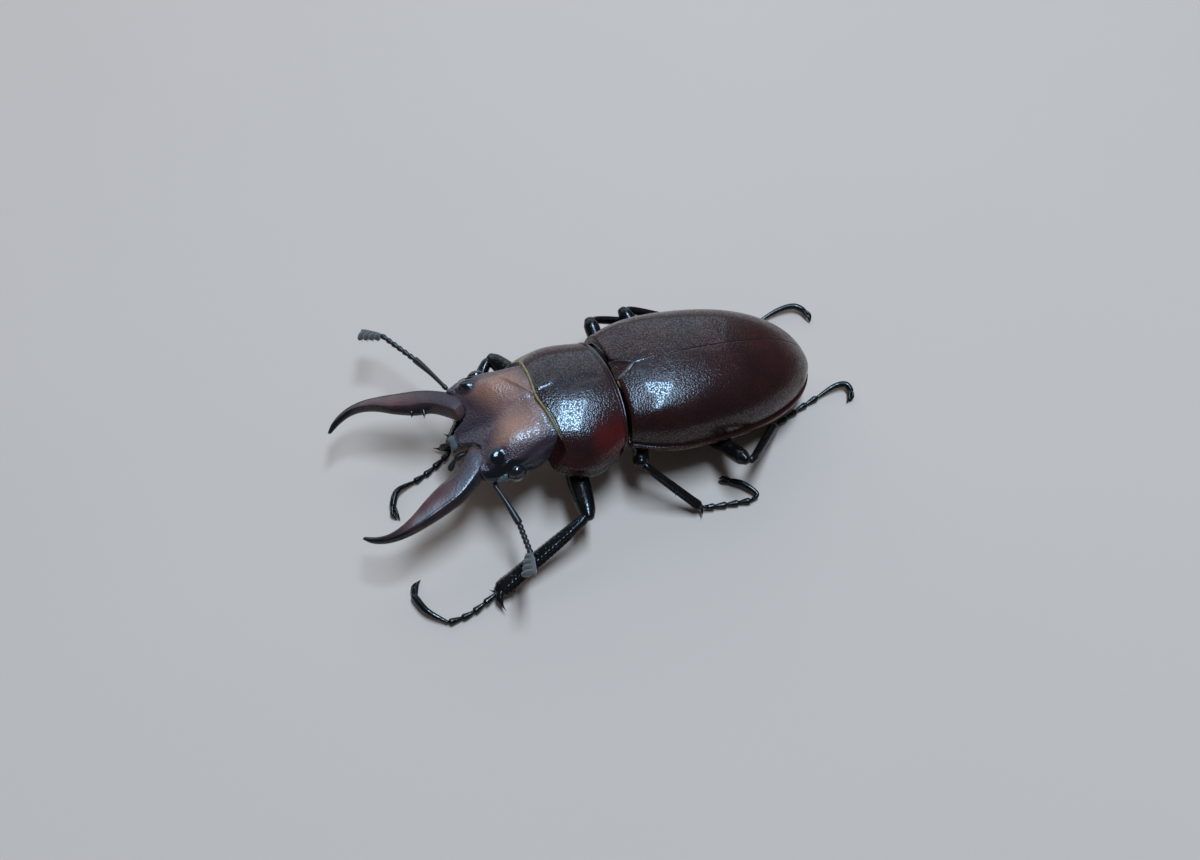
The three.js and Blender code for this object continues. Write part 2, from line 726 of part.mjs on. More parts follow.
const legs = {
  left_fore: {
    hip: point(3.3, -11.5, 3.4),
    knee: point(10.3, -12.3, 3.5),
    ankle: point(13.6, -21.6, 0.85),
    thigh: [1.0, 0.85],
    shin: [0.5, 0.62, 0.78, 0.85],
    foot: [
      point(13.85, -22.35, 0.6),
      point(14.6, -24.5, 0.27),
      point(14.75, -26.4, 0.27),
    ],
    toe: [
      point(14.7, -26.5, 0.32),
      point(13.2, -27.9, 0.62),
      point(11.35, -28.55, 0.5),
    ],
    clawTip: point(9.9, -27.7, 0.1),
    coxaTurn: 0.3,
    fold: 0.25,
    outward: 1,
    spines: foreTeeth,
  },
  right_fore: {
    hip: point(-3.3, -11.9, 3.4),
    knee: point(-8.95, -14.8, 3.55),
    ankle: point(-2.35, -21.0, 0.85),
    thigh: [1.0, 0.85],
    shin: [0.5, 0.62, 0.78, 0.85],
    foot: [
      point(-1.85, -21.6, 0.6),
      point(-0.75, -23.7, 0.27),
      point(-0.1, -25.3, 0.27),
    ],
    toe: [
      point(-0.08, -25.4, 0.32),
      point(0.6, -27.1, 0.62),
      point(2.0, -27.9, 0.5),
    ],
    clawTip: point(3.3, -27.75, 0.1),
    coxaTurn: 0.3,
    fold: 0.6,
    outward: -1,
    spines: foreTeeth,
  },
  left_mid: {
    hip: point(3.2, -4.5, 2.0),
    knee: point(7.15, -6.1, 4.3),
    ankle: point(11.4, -1.8, 0.75),
    thigh: [0.78, 0.68],
    shin: [0.36, 0.42, 0.5, 0.9],
    foot: [
      point(11.5, -1.15, 0.45),
      point(11.85, 1.2, 0.27),
      point(12.1, 3.0, 0.27),
    ],
    toe: [
      point(12.1, 3.1, 0.3),
      point(11.7, 3.8, 0.5),
      point(10.4, 3.0, 0.62),
      point(9.6, 2.05, 0.45),
    ],
    clawTip: point(8.9, 1.25, 0.1),
    coxaTurn: 0.2,
    fold: 0.5,
    outward: -1,
    spines: hindTeeth,
  },
  right_mid: {
    hip: point(-3.2, -4.5, 2.0),
    knee: point(-9.8, -4.6, 4.05),
    ankle: point(-10.5, 2.4, 0.75),
    thigh: [0.78, 0.68],
    shin: [0.36, 0.42, 0.5, 0.9],
    foot: [
      point(-10.5, 3.1, 0.45),
      point(-10.45, 4.8, 0.27),
      point(-10.3, 6.2, 0.27),
    ],
    toe: [
      point(-10.28, 6.3, 0.3),
      point(-10.1, 7.6, 0.62),
      point(-9.65, 8.7, 0.62),
      point(-9.15, 9.2, 0.45),
    ],
    clawTip: point(-8.75, 9.9, 0.1),
    coxaTurn: 0.2,
    fold: 0.55,
    outward: 1,
    spines: hindTeeth,
  },
  left_hind: {
    hip: point(3.2, 1.0, 1.6),
    knee: point(9.75, 2.85, 4.0),
    ankle: point(5.35, 8.6, 0.75),
    thigh: [0.82, 0.72],
    shin: [0.38, 0.44, 0.52, 0.9],
    foot: [
      point(5.05, 9.3, 0.45),
      point(4.05, 11.9, 0.27),
      point(3.35, 14.2, 0.27),
    ],
    toe: [
      point(3.32, 14.3, 0.3),
      point(2.85, 16.3, 0.6),
      point(3.0, 17.5, 0.62),
      point(3.85, 17.75, 0.45),
    ],
    clawTip: point(4.75, 16.95, 0.1),
    coxaTurn: -0.2,
    fold: 1.1,
    outward: 1,
    spines: hindTeeth,
  },
  right_hind: {
    hip: point(-3.2, 1.0, 1.6),
    knee: point(-10.15, -0.9, 3.85),
    ankle: point(-8.2, 7.3, 0.8),
    thigh: [0.82, 0.72],
    shin: [0.38, 0.44, 0.52, 0.9],
    foot: [
      point(-8.05, 8.0, 0.5),
      point(-7.5, 10.6, 0.27),
      point(-7.5, 12.9, 0.27),
    ],
    toe: [
      point(-7.52, 13.0, 0.3),
      point(-8.05, 15.4, 0.6),
      point(-8.0, 17.2, 0.66),
      point(-7.15, 18.1, 0.5),
    ],
    clawTip: point(-5.95, 18.2, 0.1),
    coxaTurn: -0.2,
    fold: 0.6,
    outward: -1,
    spines: hindTeeth,
  },
};

function addLeg(name, leg) {
  addNode(beetle, `leg_${name}_coxa`, coxaShape(leg), legBlack);
  addNode(beetle, `leg_${name}_femur`, cut(thighShape(leg), coxaShape(leg, parting)), legBlack);
  const shin = cut(shinShape(leg), thighShape(leg, socketGap));
  addNode(beetle, `leg_${name}_tibia`, shin, legBlack);
  const foot = cut(footShape(leg), shin);
  addNode(beetle, `leg_${name}_tarsus`, foot, legBlack);
  addNode(beetle, `leg_${name}_claws`, cut(clawShape(leg), foot), legBlack);
}

// ---- Assembly ----

// A shape placed in the stance frame, seen from the frame of a turned group.
const seenFrom = (group, geometry) =>
  geometry.applyMatrix4(group.matrixWorld.clone().invert());

const socketsOf = (group, shape, ...names) =>
  names.map((name) => seenFrom(group, shape(legs[name], socketGap)));
const foreSockets = [
  ...socketsOf(fore, coxaShape, "left_fore", "right_fore"),
  ...socketsOf(fore, thighShape, "left_fore", "right_fore"),
];
const hindSockets = socketsOf(trunk, coxaShape, "left_mid", "right_mid", "left_hind", "right_hind");
// The hind thighs lie in shallow grooves of the belly.
const thighGrooves = socketsOf(trunk, thighShape, "left_hind", "right_hind");

for (const [name, side] of Object.entries({ left: 1, right: -1 })) {
  const eyeBall = ball(side * eye.x, eye.y, eye.z, eye.radius, { flat: eye.flat });
  addNode(trunk, `elytron_${name}`, elytron(side), shellBrown);
  addNode(skull, `mandible_${name}`, makeJaw(side), jawBrown);
  addNode(skull, `eye_${name}`, eyeBall, eyeBlack);
  addNode(skull, `palp_${name}`, makePalp(side), feelerBlack);
}
addNode(trunk, "scutellum", scutellumPlate(), shellBrown);
addNode(fore, "pronotum", cut(pronotum(), ...foreSockets), collarBrown);
addNode(trunk, "thorax", cut(thorax(), ...hindSockets, ...thighGrooves), bellyBlack);
addNode(trunk, "abdomen", cut(abdomen(), ...thighGrooves), bellyBlack);
addNode(skull, "head", makeHead(), headRed);
addNode(skull, "labrum", makeLabrum(), labrumGrey);

addFeeler("left", 1, {
  root: point(5.9, -19.35, 5.2),
  elbow: point(9.6, -18.4, 4.2),
  wrist: point(13.4, -18.6, 5.2),
  tip: point(15.6, -19.0, 5.4),
});
addFeeler("right", -1, {
  root: point(-5.7, -20.3, 5.3),
  elbow: point(-10.15, -22.0, 5.0),
  wrist: point(-14.1, -24.2, 5.0),
  tip: point(-15.4, -25.9, 4.9),
});

Object.entries(legs).forEach(([name, leg]) => addLeg(name, leg));

// The finished animal stands with the middle of its footprint at the origin.
const box = new THREE.Box3().setFromObject(beetle, true);
beetle.position.set(-(box.min.x + box.max.x) / 2, -(box.min.y + box.max.y) / 2, -box.min.z);

export default beetle;
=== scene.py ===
import math
import random

import bpy
from mathutils import Matrix, Vector


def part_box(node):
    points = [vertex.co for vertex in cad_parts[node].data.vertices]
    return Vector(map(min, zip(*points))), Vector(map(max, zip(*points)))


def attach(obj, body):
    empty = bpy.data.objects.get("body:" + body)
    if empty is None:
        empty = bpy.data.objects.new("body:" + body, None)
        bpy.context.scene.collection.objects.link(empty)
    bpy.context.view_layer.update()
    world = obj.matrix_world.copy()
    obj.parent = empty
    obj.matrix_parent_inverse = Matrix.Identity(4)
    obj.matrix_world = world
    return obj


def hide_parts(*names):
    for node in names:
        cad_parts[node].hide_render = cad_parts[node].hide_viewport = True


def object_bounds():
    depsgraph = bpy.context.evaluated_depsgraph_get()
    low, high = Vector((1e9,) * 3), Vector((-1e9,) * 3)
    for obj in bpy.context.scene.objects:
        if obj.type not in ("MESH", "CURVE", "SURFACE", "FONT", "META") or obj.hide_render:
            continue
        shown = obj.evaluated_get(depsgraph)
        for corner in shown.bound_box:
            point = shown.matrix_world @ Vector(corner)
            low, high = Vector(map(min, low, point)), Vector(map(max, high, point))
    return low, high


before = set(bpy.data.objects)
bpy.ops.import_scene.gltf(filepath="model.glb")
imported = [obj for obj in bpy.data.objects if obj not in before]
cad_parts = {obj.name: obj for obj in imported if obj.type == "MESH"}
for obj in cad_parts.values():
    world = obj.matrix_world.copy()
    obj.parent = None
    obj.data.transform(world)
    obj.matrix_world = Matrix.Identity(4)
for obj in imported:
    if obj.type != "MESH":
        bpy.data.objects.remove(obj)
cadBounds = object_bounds()
print("frame loaded:", len(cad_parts), "nodes")

# A male saw stag beetle. Shapes are worked out in millimetres in the frames of the body, and +X is its left.
mm = 0.001

stance = {
    "trunkPitch": -9,  # the front of the body is raised
    "trunkHeight": 4.6,
    "collarYaw": 3.5,
    "collarHinge": (4.5, -6.5, 0),
    "headPitch": 25.4,
    "headYaw": -2.3,
    "neck": (-0.2, -13.03, 1),
}
# the seen ball lies a little further forward and up than the socket's middle
eye = {"x": 5.6, "y": -4.5, "z": -0.4, "radius": 0.87, "flat": 0.75, "forward": 0.22, "up": 0.12}


def turned(axis, degrees):
    return Matrix.Rotation(math.radians(degrees), 4, axis)


def moved(place):
    return Matrix.Translation(Vector(place))


trunkPose = moved((0, 0, stance["trunkHeight"])) @ turned("X", stance["trunkPitch"])
hinge = Vector(stance["collarHinge"])
forePose = trunkPose @ moved(hinge) @ turned("Z", stance["collarYaw"]) @ moved(-hinge)
skullPose = forePose @ moved(stance["neck"]) @ turned("Z", stance["headYaw"])
skullPose = skullPose @ turned("X", stance["headPitch"])
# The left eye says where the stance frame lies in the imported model.
eyeLow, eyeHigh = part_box("eye_left")
eyeMiddle = (Vector(eyeLow) + Vector(eyeHigh)) / (2 * mm)
stand = eyeMiddle - skullPose @ Vector((eye["x"], eye["y"], eye["z"]))
stancePose = Matrix.Scale(mm, 4) @ moved(stand)
trunkPose = stancePose @ trunkPose
forePose = stancePose @ forePose
skullPose = stancePose @ skullPose


# ---- small helpers ----

def lerp(a, b, share):
    return a + (b - a) * share


def clamp(value, low=0.0, high=1.0):
    return max(low, min(high, value))


def smooth(value, low, high):
    t = clamp((value - low) / (high - low))
    return t * t * (3 - 2 * t)


def between(value, low, high, fallFrom, fallTo):
    # rises from low to high, stays at 1 and falls again
    return smooth(value, low, high) * (1 - smooth(value, fallFrom, fallTo))


def bump(value, middle, width):
    return math.exp(-(((value - middle) / width) ** 2))


def knoll(x, y, height, middleX, widthX, middleY, widthY):
    # a round rise with a middle and a width of its own each way
    return height * bump(x, middleX, widthX) * bump(y, middleY, widthY)


def signedPower(value, power):
    return math.copysign(abs(value) ** power, value)


def shares(count):
    return [i / count for i in range(count + 1)]


def through(values, share):
    # a smooth curve through evenly spaced values
    last = len(values) - 1
    place = clamp(share) * last
    i = min(int(place), last - 1)
    t = place - i
    a, b, c, d = values[max(i - 1, 0)], values[i], values[i + 1], values[min(i + 2, last)]
    return 0.5 * (2 * b + (c - a) * t + (2 * a - 5 * b + 4 * c - d) * t**2 + (3 * b - a - 3 * c + d) * t**3)


def stationValue(stations, share, column):
    # a smooth curve through unevenly spaced stations of (share, value) or (share, value, value)
    places = [s[0] for s in stations]
    values = [s[min(column, len(s) - 1)] for s in stations]
    i = 0
    while i < len(places) - 2 and share > places[i + 1]:
        i += 1
    span = places[i + 1] - places[i]
    t = clamp((share - places[i]) / span)

    def slope(k):
        low, high = max(k - 1, 0), min(k + 1, len(places) - 1)
        return (values[high] - values[low]) / (places[high] - places[low])

    m0, m1 = slope(i) * span, slope(i + 1) * span
    a, b = values[i], values[i + 1]
    towards = 3 * t**2 - 2 * t**3
    return (1 - towards) * a + (t**3 - 2 * t**2 + t) * m0 + towards * b + (t**3 - t**2) * m1


def sideways(along):
    # level, and to the right of the way along
    return Vector((0, 0, 1)).cross(along).normalized()


def axes(x, y, z):
    return Matrix((x, y, z)).transposed().to_4x4()


def deselect():
    bpy.ops.object.select_all(action="DESELECT")


def choose(*pieces):
    deselect()
    for piece in pieces:
        piece.select_set(True)
    bpy.context.view_layer.objects.active = pieces[0]


def started(name):
    # the primitive that was just added, named and open for editing all over
    piece = bpy.context.object
    piece.name = piece.data.name = name
    bpy.ops.object.mode_set(mode="EDIT")
    bpy.ops.mesh.select_all(action="SELECT")
    return piece


def closed():
    bpy.ops.mesh.select_all(action="SELECT")
    bpy.ops.mesh.normals_make_consistent(inside=False)
    bpy.ops.object.mode_set(mode="OBJECT")


def loft(name, rings, pose, tints=None, marks=None, glows=None):
    # a grid bent round into the rings: its first and last columns meet and its ends are filled
    columns = len(rings[0])
    deselect()
    bpy.ops.mesh.primitive_grid_add(x_subdivisions=columns, y_subdivisions=len(rings) - 1, size=1)
    mesh = bpy.context.object.data
    places = [value for ring in rings for i in range(columns + 1) for value in pose @ ring[i % columns]]
    mesh.vertices.foreach_set("co", places)
    for key, rows in (("tint", tints), ("mark", marks), ("glow", glows)):
        values = [0.0] * len(mesh.vertices)
        if rows:
            values = [row[i % columns] for row in rows for i in range(columns + 1)]
        mesh.attributes.new(key, "FLOAT", "POINT").data.foreach_set("value", values)
    piece = started(name)
    bpy.ops.mesh.remove_doubles(threshold=2e-6)
    bpy.ops.mesh.fill_holes(sides=0)
    closed()
    bpy.ops.object.shade_smooth()
    return piece


def loftRows(name, rows, pose):
    # a row is a ring with its tints, marks and glows, as far as the piece has them
    rings, *paints = zip(*rows)
    return loft(name, rings, pose, *paints)


def joined(name, pieces):
    choose(*pieces)
    bpy.ops.object.join()
    piece = bpy.context.object
    piece.name = piece.data.name = name
    return piece


def section(count, y, half, crown, margin, keel, back, under):
    # a back and a belly, each of its own height and roundness, that meet at the side margin
    ring = []
    for k in range(count):
        turn = 2 * math.pi * k / count
        over = math.sin(turn) >= 0
        power = back if over else under
        rise = (crown - margin) if over else (keel - margin)
        across = math.cos(turn)
        z = margin + rise * max(1 - abs(across) ** power, 0) ** (1 / power)
        ring.append(Vector((half * across, y, z)))
    return ring


def pathOf(points, samples=60):
    # a smooth path, measured by length: share -> (centre, direction)
    points = [Vector(p) for p in points]
    if len(points) == 2:
        raw = [points[0].lerp(points[1], share) for share in shares(samples)]
    else:
        raw = [through(points, share) for share in shares(samples)]
    lengths = [0.0]
    for a, b in zip(raw, raw[1:]):
        lengths.append(lengths[-1] + (b - a).length)

    def at(share):
        want = clamp(share) * lengths[-1]
        i = 0
        while i < samples - 1 and lengths[i + 1] < want:
            i += 1
        t = clamp((want - lengths[i]) / max(lengths[i + 1] - lengths[i], 1e-9))
        low, high = max(i - 1, 0), min(i + 2, samples)
        return raw[i].lerp(raw[i + 1], t), (raw[high] - raw[low]).normalized()

    return at


def tubeRings(points, stations, sides=16, steps=20, cap=0.6, flute=None):
    # rings along a path with rounded ends; a station is (share, half width, half depth)
    at = pathOf(points)
    capSteps = 4
    turns = [math.pi / 2 * k / capSteps for k in range(1, capSteps + 1)]
    plan = [(0.0, -math.sin(a), math.cos(a)) for a in reversed(turns)]
    plan += [(share, 0.0, 1.0) for share in shares(steps)]
    plan += [(1.0, math.sin(a), math.cos(a)) for a in turns]
    rings = []
    for share, beyond, shrink in plan:
        centre, along = at(share)
        side = sideways(along)
        rise = along.cross(side)
        wide = stationValue(stations, share, 1)
        deep = stationValue(stations, share, 2)
        centre = centre + along * beyond * cap * wide
        ring = []
        for k in range(sides):
            turn = 2 * math.pi * k / sides
            reach = max(shrink, 0.001) * (1 + (flute(turn, share) if flute else 0))
            across, up = wide * math.cos(turn) * reach, deep * math.sin(turn) * reach
            ring.append(centre + side * across + rise * up)
        rings.append(ring)
    return rings


def tube(name, points, stations, sides=16, steps=20, pose=stancePose, **how):
    return loft(name, tubeRings(points, stations, sides, steps, **how), pose)


thornShape = {"sides": 14, "steps": 9, "shoulders": 0.35, "point": 0.06}


def thorn(name, root, tip, thick, pose, bend):
    # a disc that is extruded, narrowed and tilted step by step into a curved point
    root, tip = Vector(root), Vector(tip)
    along = tip - root
    deselect()
    bpy.ops.mesh.primitive_circle_add(vertices=thornShape["sides"], radius=thick, fill_type="NGON")
    piece = started(name)
    wide, out = 1.0, 0.0
    for share in shares(thornShape["steps"])[1:]:
        nextWide = lerp(1 - thornShape["shoulders"] * share, thornShape["point"], smooth(share, 0.25, 1))
        nextOut = bend * math.sin(math.pi * share) * along.length
        step = (nextOut - out, 0, along.length / thornShape["steps"])
        bpy.ops.mesh.extrude_region_move(TRANSFORM_OT_translate={"value": step})
        bpy.ops.transform.resize(value=(nextWide / wide,) * 3)
        wide, out = nextWide, nextOut
    closed()
    choose(piece)
    rounding = piece.modifiers.new("Rounding", "SUBSURF")
    rounding.levels = rounding.render_levels = 1
    bpy.ops.object.modifier_apply(modifier=rounding.name)
    bpy.ops.object.shade_smooth()
    away = along.cross(Vector((0, 0, 1))).normalized()
    upright = along.normalized()
    piece.data.transform(pose @ moved(root) @ axes(away, upright.cross(away), upright))
    return piece


def ball(name, segments, rings, radius, stretch):
    deselect()
    bpy.ops.mesh.primitive_uv_sphere_add(segments=segments, ring_count=rings, radius=radius)
    piece = started(name)
    bpy.ops.transform.resize(value=stretch)
    bpy.ops.object.mode_set(mode="OBJECT")
    bpy.ops.object.shade_smooth()
    return piece


# ---- shader helpers ----

class Wire:
    def __init__(self, graph, socket):
        self.graph = graph
        self.socket = socket

    def math(self, operation, *values):
        return self.graph.node("ShaderNodeMath", {"operation": operation}, dict(enumerate(values)))

    def __add__(self, other):
        return self.math("ADD", self, other)

    def __radd__(self, other):
        return self.math("ADD", other, self)

    def __sub__(self, other):
        return self.math("SUBTRACT", self, other)

    def __rsub__(self, other):
        return self.math("SUBTRACT", other, self)

    def __mul__(self, other):
        return self.math("MULTIPLY", self, other)


class Graph:
    def __init__(self, name):
        self.material = bpy.data.materials.new(name)
        self.material.use_nodes = True
        self.tree = self.material.node_tree
        self.tree.nodes.clear()
        self.place = self.node("ShaderNodeTexCoord", output="Object")

    def node(self, kind, settings=None, sockets=None, output=0):
        made = self.tree.nodes.new(kind)
        for key, value in (settings or {}).items():
            setattr(made, key, value)
        for key, value in (sockets or {}).items():
            if isinstance(value, Wire):
                self.tree.links.new(value.socket, made.inputs[key])
            else:
                made.inputs[key].default_value = value
        return Wire(self, made.outputs[output]) if len(made.outputs) else None

    def attribute(self, name):
        return self.node("ShaderNodeAttribute", {"attribute_name": name}, output="Fac")

    def noise(self, sizeMm, detail=3.0, roughness=0.55):
        sockets = {"Vector": self.place, "Scale": 1 / (sizeMm * mm), "Detail": detail, "Roughness": roughness}
        return self.node("ShaderNodeTexNoise", {}, sockets, "Fac")

    def cells(self, sizeMm, feature="F1"):
        sockets = {"Vector": self.place, "Scale": 1 / (sizeMm * mm)}
        return self.node("ShaderNodeTexVoronoi", {"feature": feature}, sockets, "Distance")

    def ramp(self, factor, low, high):
        # 0 below low, 1 above high
        return self.node("ShaderNodeMapRange", {"interpolation_type": "SMOOTHSTEP"},
                         {"Value": factor, "From Min": low, "From Max": high})

    def mix(self, factor, a, b):
        sockets = {0: factor}
        for key, value in ((6, a), (7, b)):
            sockets[key] = value if isinstance(value, Wire) else (*value, 1)
        return self.node("ShaderNodeMix", {"data_type": "RGBA"}, sockets, 2)

    def blotches(self, drift, dark, light, high=0.75):
        return self.mix(self.ramp(drift, 0.3, high), dark, light)

    def bump(self, height, depthMm):
        sockets = {"Height": height, "Distance": depthMm * mm, "Strength": 1.0}
        return self.node("ShaderNodeBump", {}, sockets)

    def finish(self, **sockets):
        # words joined by underscores name the shader's sockets, as in Base_Color
        named = {key.replace("_", " "): value for key, value in sockets.items()}
        shader = self.node("ShaderNodeBsdfPrincipled", {}, named)
        self.node("ShaderNodeOutputMaterial", {}, {"Surface": shader})
        return self.material


# ---- finishes: a mark, a tint and a glow on the surface say where each finish changes ----

def shagreen(g, size, depth, mark=None):
    # fine domed grains that break a highlight into specks; a mark adds punctures
    height = g.cells(size) * -1.0 + g.cells(size * 0.6) * -0.4 + g.noise(size * 0.5, 2, 0.6) * 0.3
    if mark:
        height = height - mark * (1 - g.ramp(g.cells(size * 2.2), 0.05, 0.35)) * 2.2
    return g.bump(height, depth)


def specks(g, size):
    # bright grains of gloss: full at the middle of a grain, none between grains
    return (1 - g.ramp(g.cells(size), 0.27, 0.55)) * (0.7 + g.ramp(g.noise(size * 5, 2), 0.35, 0.6) * 0.3)


def glossFinish(g, colour, normal, speckSize, ior):
    # speckled gloss, and a full one where the surface glows
    rough = 0.16 + g.noise(0.4, 3) * 0.06
    glow = g.attribute("glow")
    coat = specks(g, speckSize) * (1 - glow) + glow
    return g.finish(Base_Color=colour, Roughness=rough, Normal=normal, IOR=ior,
                    Coat_Weight=coat, Coat_Roughness=0.06)


def shellFinish():
    g = Graph("shellBrown")
    colour = g.blotches(g.noise(4.5, 3), (0.016, 0.0035, 0.0036), (0.036, 0.0066, 0.005))
    # the tint: the shell's own browner margin and tail, and a painted reflection of brown ground along the
    # right case's margin
    colour = g.mix(g.attribute("tint"), colour, (0.095, 0.027, 0.012))
    return glossFinish(g, colour, shagreen(g, 0.18, 0.0205, g.attribute("mark")), 0.165, 1.37)


def collarFinish():
    g = Graph("collarBrown")
    colour = g.blotches(g.noise(3.5, 3), (0.014, 0.004, 0.0046), (0.03, 0.006, 0.0055))
    colour = g.mix(g.attribute("tint"), colour, (0.085, 0.006, 0.005))
    return glossFinish(g, colour, shagreen(g, 0.17, 0.0175), 0.16, 1.38)


def headFinish():
    g = Graph("headRed")
    tint = g.attribute("tint")
    polish = g.attribute("mark")
    colour = g.blotches(g.noise(2.2, 4, 0.6), (0.15, 0.062, 0.045), (0.23, 0.105, 0.078), 0.7)
    colour = g.mix(g.attribute("glow"), colour, (0.36, 0.125, 0.06))
    # the tint darkens the forehead, the sides and the nape, and paints shade on the underside
    colour = g.mix(tint, colour, (0.03, 0.012, 0.018))
    colour = g.mix(polish, colour, (0.003, 0.0028, 0.0035))
    height = g.cells(0.2) * -1.0 + g.cells(0.13) * -0.5 + g.noise(0.1, 3, 0.65) * 0.4
    rough = (0.31 + g.noise(0.5, 3) * 0.06) * (1 - polish * 0.68)
    return g.finish(Base_Color=colour, Roughness=rough, Normal=g.bump(height * (1 - polish * 0.9), 0.034),
                    IOR=1.5, Coat_Weight=specks(g, 0.18) * (0.7 - polish * 0.7), Coat_Roughness=0.1,
                    Sheen_Weight=0.12, Sheen_Tint=(0.75, 0.72, 0.9, 1))


def jawFinish():
    g = Graph("jawBrown")
    tint = g.attribute("tint")
    base = g.attribute("mark")
    colour = g.blotches(g.noise(1.8, 3), (0.075, 0.031, 0.027), (0.14, 0.06, 0.047), 0.7)
    colour = g.mix(base, colour, (0.038, 0.016, 0.02))
    colour = g.mix(g.attribute("glow"), colour, (0.09, 0.014, 0.012))
    # the tint darkens the tip, the rims and the underside, with painted shade along the inner edge
    colour = g.mix(tint, colour, (0.005, 0.005, 0.007))
    grain = g.cells(0.2) * -1.0 + g.noise(0.1, 3, 0.65) * 0.4
    height = grain * (0.4 + base * 0.9) * (1 - tint * 0.9)
    rough = 0.31 - tint * 0.23 + base * (1 - tint) * 0.2 + g.noise(0.5, 3) * 0.04
    return g.finish(Base_Color=colour, Roughness=rough, Normal=g.bump(height, 0.022), IOR=1.45,
                    Coat_Weight=specks(g, 0.18) * (0.45 - base * 0.35), Coat_Roughness=0.13)


def legFinish():
    g = Graph("legBlack")
    colour = g.blotches(g.noise(1.5, 3), (0.002, 0.0017, 0.002), (0.007, 0.0042, 0.0038))
    grain = g.noise(0.12, 3, 0.6)
    pits = g.ramp(g.cells(0.3), 0.05, 0.3)
    normal = g.bump(pits * 0.8 + grain * 0.4, 0.02)
    return g.finish(Base_Color=colour, Roughness=0.13 + grain * 0.16, Normal=normal, IOR=1.32,
                    Coat_Weight=specks(g, 0.2) * 0.8, Coat_Roughness=0.08)


def bellyFinish():
    g = Graph("bellyBlack")
    colour = g.blotches(g.noise(2.5, 4), (0.005, 0.0028, 0.003), (0.022, 0.009, 0.007))
    grain = g.noise(0.15, 3, 0.6)
    pits = g.ramp(g.cells(0.28), 0.05, 0.35)
    normal = g.bump(pits * 0.7 + grain * 0.5, 0.012)
    return g.finish(Base_Color=colour, Roughness=0.32 + grain * 0.2, Normal=normal, IOR=1.4)


def eyeFinish():
    g = Graph("eyeBlack")
    facets = g.cells(0.05, "DISTANCE_TO_EDGE")
    colour = g.mix(g.noise(0.6), (0.003, 0.003, 0.004), (0.012, 0.010, 0.012))
    rough = 0.07 + g.noise(0.2) * 0.06
    return g.finish(Base_Color=colour, Roughness=rough, Normal=g.bump(g.ramp(facets, 0, 0.2), 0.0012),
                    IOR=1.42, Coat_Weight=0.9, Coat_Roughness=0.05)


def feelerFinish():
    g = Graph("feelerBlack")
    grain = g.noise(0.1, 3, 0.6)
    colour = g.mix(g.noise(0.9), (0.004, 0.0035, 0.004), (0.018, 0.011, 0.009))
    return g.finish(Base_Color=colour, Roughness=0.28 + grain * 0.2, Normal=g.bump(grain, 0.008))


def clubFinish():
    g = Graph("clubGrey")
    down = g.noise(0.05, 4, 0.7)
    colour = g.mix(down, (0.04, 0.028, 0.022), (0.13, 0.095, 0.075))
    return g.finish(Base_Color=colour, Roughness=0.65 + down * 0.2, Normal=g.bump(down, 0.012),
                    Sheen_Weight=0.5)


def labrumFinish():
    g = Graph("labrumGrey")
    grain = g.noise(0.1, 3, 0.6)
    colour = g.mix(g.noise(0.7), (0.03, 0.035, 0.036), (0.11, 0.11, 0.105))
    return g.finish(Base_Color=colour, Roughness=0.35 + grain * 0.2, Normal=g.bump(grain, 0.01),
                    Coat_Weight=0.2)


def goldFinish():
    g = Graph("fringeGold")
    strand = g.noise(0.12, 2)
    colour = g.mix(strand, (0.54, 0.34, 0.08), (0.84, 0.58, 0.2))
    return g.finish(Base_Color=colour, Roughness=0.42 + strand * 0.15, Sheen_Weight=0.3)


# a finish goes by the name of its slot
finishes = {
    "shell_brown": shellFinish(),
    "collar_brown": collarFinish(),
    "head_red": headFinish(),
    "jaw_brown": jawFinish(),
    "leg_black": legFinish(),
    "belly_black": bellyFinish(),
    "eye_black": eyeFinish(),
    "feeler_black": feelerFinish(),
    "club_grey": clubFinish(),
    "labrum_grey": labrumFinish(),
    "fringe_gold": goldFinish(),
}


def finishPiece(piece, slot, *nodes):
    piece.data.materials.clear()
    piece.data.materials.append(finishes[slot])
    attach(piece, "root")
    if nodes:
        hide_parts(*nodes)


print("finishes made")

# ---- wing cases: one dome, split along the back ----

wing = {
    "front": -6.7, "apex": 14.1, "widest": -1.5, "shoulder": 6.35, "half": 7.65, "crest": 3, "crown": 4.6,
    "frontDrop": 1.25, "dropPower": 2.3, "taper": 2.3, "bow": -0.2, "thick": 0.55, "ledge": 0.34, "lip": 0.28,
    "edge": 0.28, "parting": 0.03, "seamDip": 0.03, "seamWidth": 0.04, "roundness": 2.55,
    "steps": 96, "corners": 54, "insideCorners": 12, "frontRolls": (0.36, 0.18, 0.06),
    # the rim at the side: how far in from the margin, and the share of the lip or of the edge
    "rim": ((0.24, 0.35), (0.17, 0.8), (0.1, 1), (0.04, 0.8), (0, 0.3), (0, -0.3), (0.06, -0.8), (0.15, -1)),
    # height, then middle and width across and along
    "shoulderSwell": (0.11, 5.1, 1.3, -3, 3.5),
    "shoulderKnob": (0.16, 5.1, 0.9, -4.4, 1.2),
    "punctures": (0.9, 1.2, 1.3, -5.6, 1.3),
}
scutellum = {
    "half": 1.15, "length": 1.9, "rise": 0.02, "taper": 1.4, "thick": 0.5, "rim": 0.08, "rimWidth": 0.17,
    "steps": 32, "corners": 24,
}


def taperedFrom(y, start, full):
    # how much of the full size is left on the way to the apex
    share = min((y - wing[start]) / (wing["apex"] - wing[start]), 1)
    return wing[full] * math.sqrt(1 - share ** wing["taper"])


def wingHalf(y):
    if y >= wing["widest"]:
        return taperedFrom(y, "widest", "half")
    share = (y - wing["front"]) / (wing["widest"] - wing["front"])
    return lerp(wing["shoulder"], wing["half"], math.sin(math.pi / 2 * max(share, 0)))


